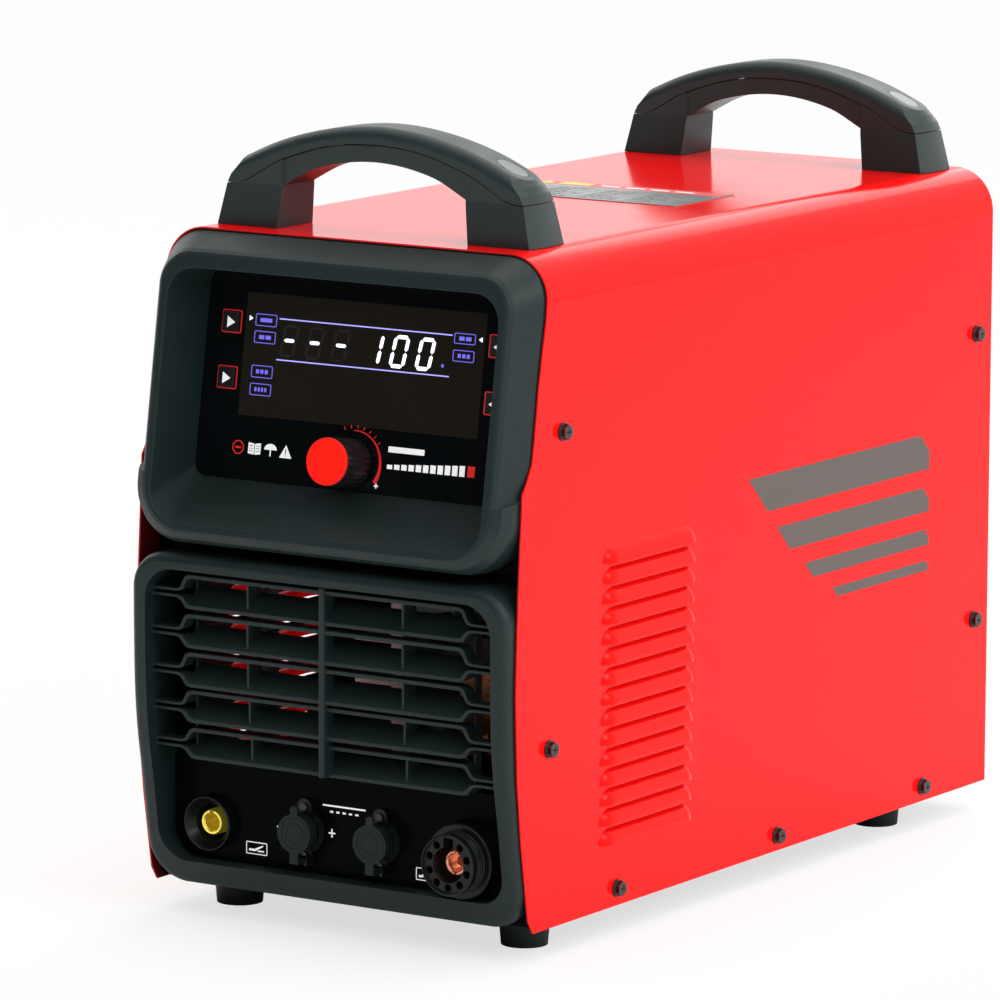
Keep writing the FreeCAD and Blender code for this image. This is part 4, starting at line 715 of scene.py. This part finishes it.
# left, right, bottom, top about PLUS_UP
PLUS_BARS = [(14.4, 17.0, -0.35, 0.35), (15.35, 16.05, -1.3, -0.36), (15.35, 16.05, 0.36, 1.3)]


def knob_scale():
    """Arc that widens clockwise around the knob, with ticks outside it."""
    art = head_artwork()
    inner, outer = [], []
    for k in range(SCALE_STEPS + 1):
        angle = [94.0 - 128.0 * k / SCALE_STEPS]
        width = 0.5 + 1.9 * (k / SCALE_STEPS) ** 1.6
        outer += ring(SCALE_X, 0.0, SCALE_RADIUS + width * 0.5, angle)
        inner += ring(SCALE_X, 0.0, SCALE_RADIUS - width * 0.5, angle)
    art.strip(inner, outer)
    for k in range(7):
        art.ray(SCALE_X, 0.0, 112.0 - 12.5 * k, inner=18.0, outer=19.8, width=0.55)
    art.make("knob_scale", "panel_film", "ink_red")


def panel_white_marks():
    art = head_artwork()
    art.boxes(PLUS_BARS, PLUS_UP)
    mid = SIGN_UP
    # open sheet: two leaning halves
    art.polygon([(-66.8, mid - 2.7), (-63.1, mid - 3.2), (-63.1, mid + 2.6), (-66.8, mid + 3.1)])
    art.polygon([(-62.6, mid - 3.2), (-58.9, mid - 2.7), (-58.9, mid + 3.1), (-62.6, mid + 2.6)])
    # dome on a post
    art.polygon(ring(-52.6, mid + 0.2, 4.0, range(0, 181, 15), radius_y=3.2))
    art.box(-52.95, -52.25, mid - 3.2, mid + 0.15)
    # triangle
    art.polygon([(-46.7, mid - 3.3), (-38.9, mid - 3.3), (-42.8, mid + 3.6)])
    # row of rising bars to the right of the knob, and a bar above it
    for k in range(11):
        left = 21.5 + k * 4.5
        art.box(left, left + 3.3, up_head(248.8), up_head(251.0) + 0.34 * k)
    art.box(21.5, 44.0, up_head(257.4), up_head(260.4))
    art.make("panel_white_marks", "panel_film", "ink_white")


def panel_red_marks():
    art = head_artwork()
    corners = [22.5 + 45 * k for k in range(8)]
    art.band(ring(-73.3, SIGN_UP, 3.9, corners), ring(-73.3, SIGN_UP, 3.2, corners))
    art.box(-75.1, -71.5, SIGN_UP - 0.55, SIGN_UP + 0.55)
    art.box(71.5, 76.0, up_head(248.9), up_head(254.6))
    art.make("panel_red_marks", "panel_film", "ink_red")


def panel_dark_marks():
    """Dark strokes on the white triangle and the open sheet."""
    art = head_artwork(base=MARK_FACE + 0.001, face=MARK_FACE + 0.03)
    art.boxes([(-43.1, -42.5, -1.2, 1.5), (-43.1, -42.5, -2.4, -1.8)], SIGN_UP)
    for k in range(3):
        bottom = SIGN_UP - 1.5 + 1.4 * k
        art.boxes([(-66.1, -63.8, 0.0, 0.35), (-61.9, -59.6, 0.0, 0.35)], bottom)
    art.make("panel_dark_marks", "panel_film", "ink_dark")


# ------------------------------------------------------------------ socket plate marks

# outlines as (x, z)
LEFT_SIGN = [
    [(-61.0, 37.4), (-57.0, 37.4), (-52.0, 40.2), (-52.0, 41.0), (-57.6, 38.6), (-61.0, 38.6)],
    [(-55.8, 37.2), (-51.4, 37.2), (-51.4, 38.0), (-55.0, 38.0)],
]
RIGHT_SIGN = [
    [(47.2, 36.2), (49.4, 36.2), (53.4, 39.2), (56.8, 39.2),
     (56.8, 40.2), (52.8, 40.2), (48.8, 37.4), (47.2, 37.4)],
]
# left, right, lower z, upper z
SOCKET_BARS = [
    (-43.0, -40.2, 52.2, 52.9),  # minus
    (-9.9, -5.7, 52.6, 53.4),    # plus, in three bars
    (-8.2, -7.4, 50.7, 52.55),
    (-8.2, -7.4, 53.45, 55.3),
    (-13.6, 13.6, 67.2, 68.1),   # long bar over the two small sockets
]


def socket_plate_marks():
    plate_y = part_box("front_chassis")[0].y * TO_MM
    art = Artwork(lambda x, z, out: Vector((x, plate_y - out, z)), base=0.01, face=0.1)
    for left, right, bottom, top, sign in ((-62.9, -49.3, 35.6, 42.4, LEFT_SIGN),
                                           (45.4, 58.6, 34.6, 41.4, RIGHT_SIGN)):
        art.rounded_frame(left, right, bottom, top, radius=0.8, width=0.5)
        for outline in sign:
            art.polygon(outline)
    art.boxes(SOCKET_BARS)
    for k in range(5):
        art.box(-9.0 + 4.0 * k, -7.0 + 4.0 * k, 64.0, 65.0)
    art.make("socket_plate_marks", "black_paint", "ink_white")


# ------------------------------------------------------------------ side stripes

# lower z, upper z, front end y
STRIPES = [(205.0, 225.0, -8.0), (181.0, 195.0, 22.0), (162.0, 171.0, 52.0), (147.5, 153.0, 82.0)]
STRIPE_REAR = 188.0


def side_stripes(tag, side):
    """Stripes cut at 45 degrees in front and at the upper rear corner."""
    def place(y, z, out):
        return Vector((side * (COVER_HALF_WIDTH + out), y, z))
    art = Artwork(place, base=0.03, face=0.14)
    for low, high, front in STRIPES:
        height = high - low
        cut = height * 0.5
        art.polygon([(front + height, low), (STRIPE_REAR, low), (STRIPE_REAR, high - cut),
                     (STRIPE_REAR - cut, high), (front, high)])
    art.make("side_stripes_" + tag, "red_paint", "ink_grey")


# ------------------------------------------------------------------ label on top

LABEL_ROW_PITCH = 6.2
LABEL_COLUMNS = (3, 30, 62, 92)
LABEL_LINE = 0.35


def rating_label():
    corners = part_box("rating_plate")
    label_z = corners[1].z * TO_MM
    low, high = (Vector(corner) * 1000 for corner in corners)

    def label_artwork(base, face):
        return Artwork(lambda x, y, out: Vector((x, y, label_z + out)), base, face)

    art = label_artwork(base=0.003, face=0.06)
    art.box(low.x + 2, high.x - 2, high.y - 13.5, high.y - 2)
    art.make("label_header", "label_grey", "ink_red")

    # row lines, then column lines just above them, then random dashes in the cells
    art = label_artwork(base=0.003, face=0.05)
    for k in range(7):
        y = low.y + 4.0 + k * LABEL_ROW_PITCH
        art.box(low.x + 3, high.x - 3, y, y + LABEL_LINE)
    art.base, art.face = 0.055, 0.08
    for x in [low.x + column for column in LABEL_COLUMNS] + [high.x - 3.35]:
        art.box(x, x + LABEL_LINE, low.y + 4.0, low.y + 41.5)
    art.base, art.face = 0.003, 0.05
    random.seed(5)
    for row in range(6):
        y = low.y + 5.9 + row * LABEL_ROW_PITCH
        for column in LABEL_COLUMNS:
            x = low.x + (column + 2)
            for k in range(random.randint(2, 4)):
                art.box(x + k * 5.4, x + k * 5.4 + random.uniform(2.4, 4.4), y, y + 1.5)
    art.make("label_table", "label_grey", "ink_dark")

    art = label_artwork(base=0.065, face=0.11)
    art.polygon([(low.x + 5, high.y - 12.3), (low.x + 17, high.y - 12.3),
                 (low.x + 11, high.y - 3.0)])
    art.box(low.x + 20, low.x + 40, high.y - 12.0, high.y - 3.6)
    art.make("label_yellow", "label_grey", "ink_yellow")

    art = label_artwork(base=0.065, face=0.11)
    for k in range(4):
        art.box(low.x + 46 + k * 16, low.x + 58 + k * 16, high.y - 9.0, high.y - 6.6)
    art.make("label_white", "label_grey", "ink_white")


# ------------------------------------------------------------------ rear details

def middle_mm(low, high):
    return (low + high) * 0.5 * TO_MM


def rear_artwork(face_y):
    """Thin artwork on a plane that faces the rear."""
    return Artwork(lambda x, z, out: Vector((x, face_y + out, z)), base=0.01, face=0.07)


def gauge_marks():
    low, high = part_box("gauge_dial")
    x, z = middle_mm(low.x, high.x), middle_mm(low.z, high.z)
    dial_y = low.y * TO_MM + 0.8

    art = rear_artwork(dial_y)
    for k in range(41):
        # inner end and width of long, middle and short ticks
        if k % 8 == 0:
            inner, width = 12.2, 0.6
        elif k % 4 == 0:
            inner, width = 13.4, 0.35
        else:
            inner, width = 14.4, 0.22
        art.ray(x, z, -45.0 + 270.0 * k / 40, inner, outer=15.6, width=width)
    art.make("gauge_scale", "gauge_white", "ink_dark")

    art = rear_artwork(dial_y)
    angles = [-45.0 + 4.5 * k for k in range(13)]
    art.strip(ring(x, z, 16.0, angles), ring(x, z, 16.9, angles))
    art.make("gauge_red_band", "gauge_white", "ink_red")


def switch_marks():
    """A ring above the switch and a short bar at each side."""
    low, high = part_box("mains_switch_plate")
    x, z = middle_mm(low.x, high.x), middle_mm(low.z, high.z)
    art = rear_artwork(high.y * TO_MM)
    angles = range(0, 360, 20)
    art.band(ring(x, z + 20.3, 2.1, angles), ring(x, z + 20.3, 1.5, angles))
    art.box(x - 20.6, x - 20.0, z - 2.0, z + 2.0)
    art.box(x + 20.0, x + 20.6, z - 2.0, z + 2.0)
    art.make("switch_marks", "switch_grey", "ink_dark")


# radius, z from the underside of the bowl
DRAIN_PROFILE = [
    (1.2, -9.5), (1.9, -9.2), (2.2, -8.4), (1.7, -7.6), (1.7, -6.2), (5.0, -6.0),
    (5.5, -5.5), (5.5, -1.2), (5.0, -0.7), (3.6, -0.5), (3.4, 0.4),
]


def bowl_drain():
    """Nut under the regulator bowl, with tapered ribs around it."""
    low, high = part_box("regulator_bowl")
    x, y = middle_mm(low.x, high.x), middle_mm(low.y, high.y)
    bottom = low.z * TO_MM
    nut = lathe("bowl_drain_nut", x, y, [(radius, bottom + z) for radius, z in DRAIN_PROFILE])
    attach(nut, "unit", "switch_black")

    ribs = Artwork(lambda x, y, z: Vector((x, y, z)), base=bottom - 5.3, face=bottom - 1.4)
    for degrees in range(0, 360, 20):
        ribs.ray(x, y, degrees, inner=5.3, outer=6.0, width=0.64, outer_width=0.44)
    ribs.make("bowl_drain_ribs", "switch_black", "switch_black")


# ------------------------------------------------------------------ stage (metres)

FLOOR_HALF = 9000.0  # mm
STUDIO_WHITE = (0.98, 0.98, 0.98, 1)

# name, place, target, width, height, watts
LIGHTS = [
    ("key_right", (3.1, -0.6, 2.3), (0, 0, 0.2), 1.5, 1.5, 37),
    ("front_high", (1.2, -3.6, 2.6), (0, -0.2, 0.25), 1.6, 1.2, 22),
    ("top_soft", (0.3, 0.9, 2.6), (0, 0, 0.3), 2.2, 2.2, 20),
    ("left_fill", (-3.2, 0.6, 1.7), (0, 0, 0.25), 1.6, 1.6, 18),
    ("back_fill", (-0.6, 3.4, 1.7), (0, 0, 0.25), 1.6, 1.6, 14),
]

CAMERA_PLACE = (2.0525, -3.2215, 0.8339)
CAMERA_TURN = math.radians(33.06)  # from straight ahead, towards the right side
CAMERA_RISE = math.radians(9.4)
CAMERA_ROLL = math.radians(0.21)


def make_floor():
    """White sheet that glows for the camera, more so away from the unit."""
    size = FLOOR_HALF
    corners = [(-size, -size, 0), (size, -size, 0), (size, size, 0), (-size, size, 0)]
    floor = new_object("floor_sheet", corners, [(0, 1, 2, 3)], smooth=True)
    material = finish("studio_floor", (0.955, 0.955, 0.955), rough=0.85, vary=0.004,
                      rough_vary=0.02, specular=0.1)
    floor.data.materials.append(material)
    tree = material.node_tree
    distance = distance_beyond(tree, half_size=(0.115, 0.235, 0.0))
    glow = map_range(tree, distance, source=(0.0, 0.22), target=(0.70, 0.94),
                     interpolation_type="SMOOTHSTEP")
    camera_ray = add_node(tree, "LightPath", {}).outputs["Is Camera Ray"]
    mixed = add_node(tree, "MixShader", {
        0: multiply(tree, glow, camera_ray),
        1: find_node(tree, "BSDF_PRINCIPLED").outputs[0],
        2: add_node(tree, "Emission", {"Color": STUDIO_WHITE}).outputs[0],
    })
    tree.links.new(mixed.outputs[0], find_node(tree, "OUTPUT_MATERIAL").inputs[0])
    return floor


def make_world():
    """Light that grows towards the upper right rear; plain white for the camera."""
    world = bpy.data.worlds.new("studio")
    bpy.context.scene.world = world
    world.use_nodes = True
    tree = world.node_tree
    tree.nodes.clear()
    direction = add_node(tree, "TexCoord", {}).outputs["Generated"]
    bright_side = Vector((0.42, 0.77, 0.48)).normalized()
    facing = vector_math(tree, "DOT_PRODUCT", direction, bright_side, output="Value")
    strength = map_range(tree, facing, source=(-0.55, 0.35), target=(0.05, 1.5),
                         interpolation_type="SMOOTHSTEP")
    backdrop = {"Strength": 1.0, "Color": STUDIO_WHITE}
    mixed = add_node(tree, "MixShader", {
        0: add_node(tree, "LightPath", {}).outputs["Is Camera Ray"],
        1: add_node(tree, "Background", {"Strength": strength}).outputs[0],
        2: add_node(tree, "Background", backdrop).outputs[0],
    })
    add_node(tree, "OutputWorld", {0: mixed.outputs[0]})


def area_light(name, place, target, width, height, watts):
    data = bpy.data.lights.new(name, "AREA")
    data.shape = "RECTANGLE"
    data.size, data.size_y = width, height
    data.energy = watts
    light = bpy.data.objects.new(name, data)
    bpy.context.scene.collection.objects.link(light)
    light.location = place
    aim = (Vector(target) - Vector(place)).normalized()
    light.rotation_euler = aim.to_track_quat("-Z", "Y").to_euler()
    light.visible_camera = False
    return light


def make_camera():
    data = bpy.data.cameras.new("shot")
    data.sensor_width = 36.0
    data.lens = 254.65
    data.clip_start = 0.05
    data.clip_end = 60.0
    camera = bpy.data.objects.new("shot", data)
    scene = bpy.context.scene
    scene.collection.objects.link(camera)
    back = Vector((math.sin(CAMERA_TURN) * math.cos(CAMERA_RISE),
                   -math.cos(CAMERA_TURN) * math.cos(CAMERA_RISE),
                   math.sin(CAMERA_RISE)))
    forward = -back
    level = forward.cross(Vector((0, 0, 1))).normalized()
    upright = level.cross(forward)
    right = level * math.cos(CAMERA_ROLL) + upright * math.sin(CAMERA_ROLL)
    up = -level * math.sin(CAMERA_ROLL) + upright * math.cos(CAMERA_ROLL)
    rows = list(zip(right, up, back, CAMERA_PLACE))
    camera.matrix_world = Matrix(rows + [(0, 0, 0, 1)])
    scene.camera = camera


def make_stage():
    floor = make_floor()
    make_world()
    [area_light(*row) for row in LIGHTS]
    make_camera()
    view = bpy.context.scene.view_settings
    view.view_transform = "Standard"
    view.look = "None"


# ------------------------------------------------------------------ build

paint_shade_inside_cover()
paint_frame()
display_bright_segments()
display_violet_marks()
display_violet_lines()
display_unlit_segments()
key_outlines()
key_pointers()
knob_scale()
panel_white_marks()
panel_red_marks()
panel_dark_marks()
socket_plate_marks()
side_stripes("right", 1)
side_stripes("left", -1)
rating_label()
gauge_marks()
switch_marks()
bowl_drain()
make_stage()
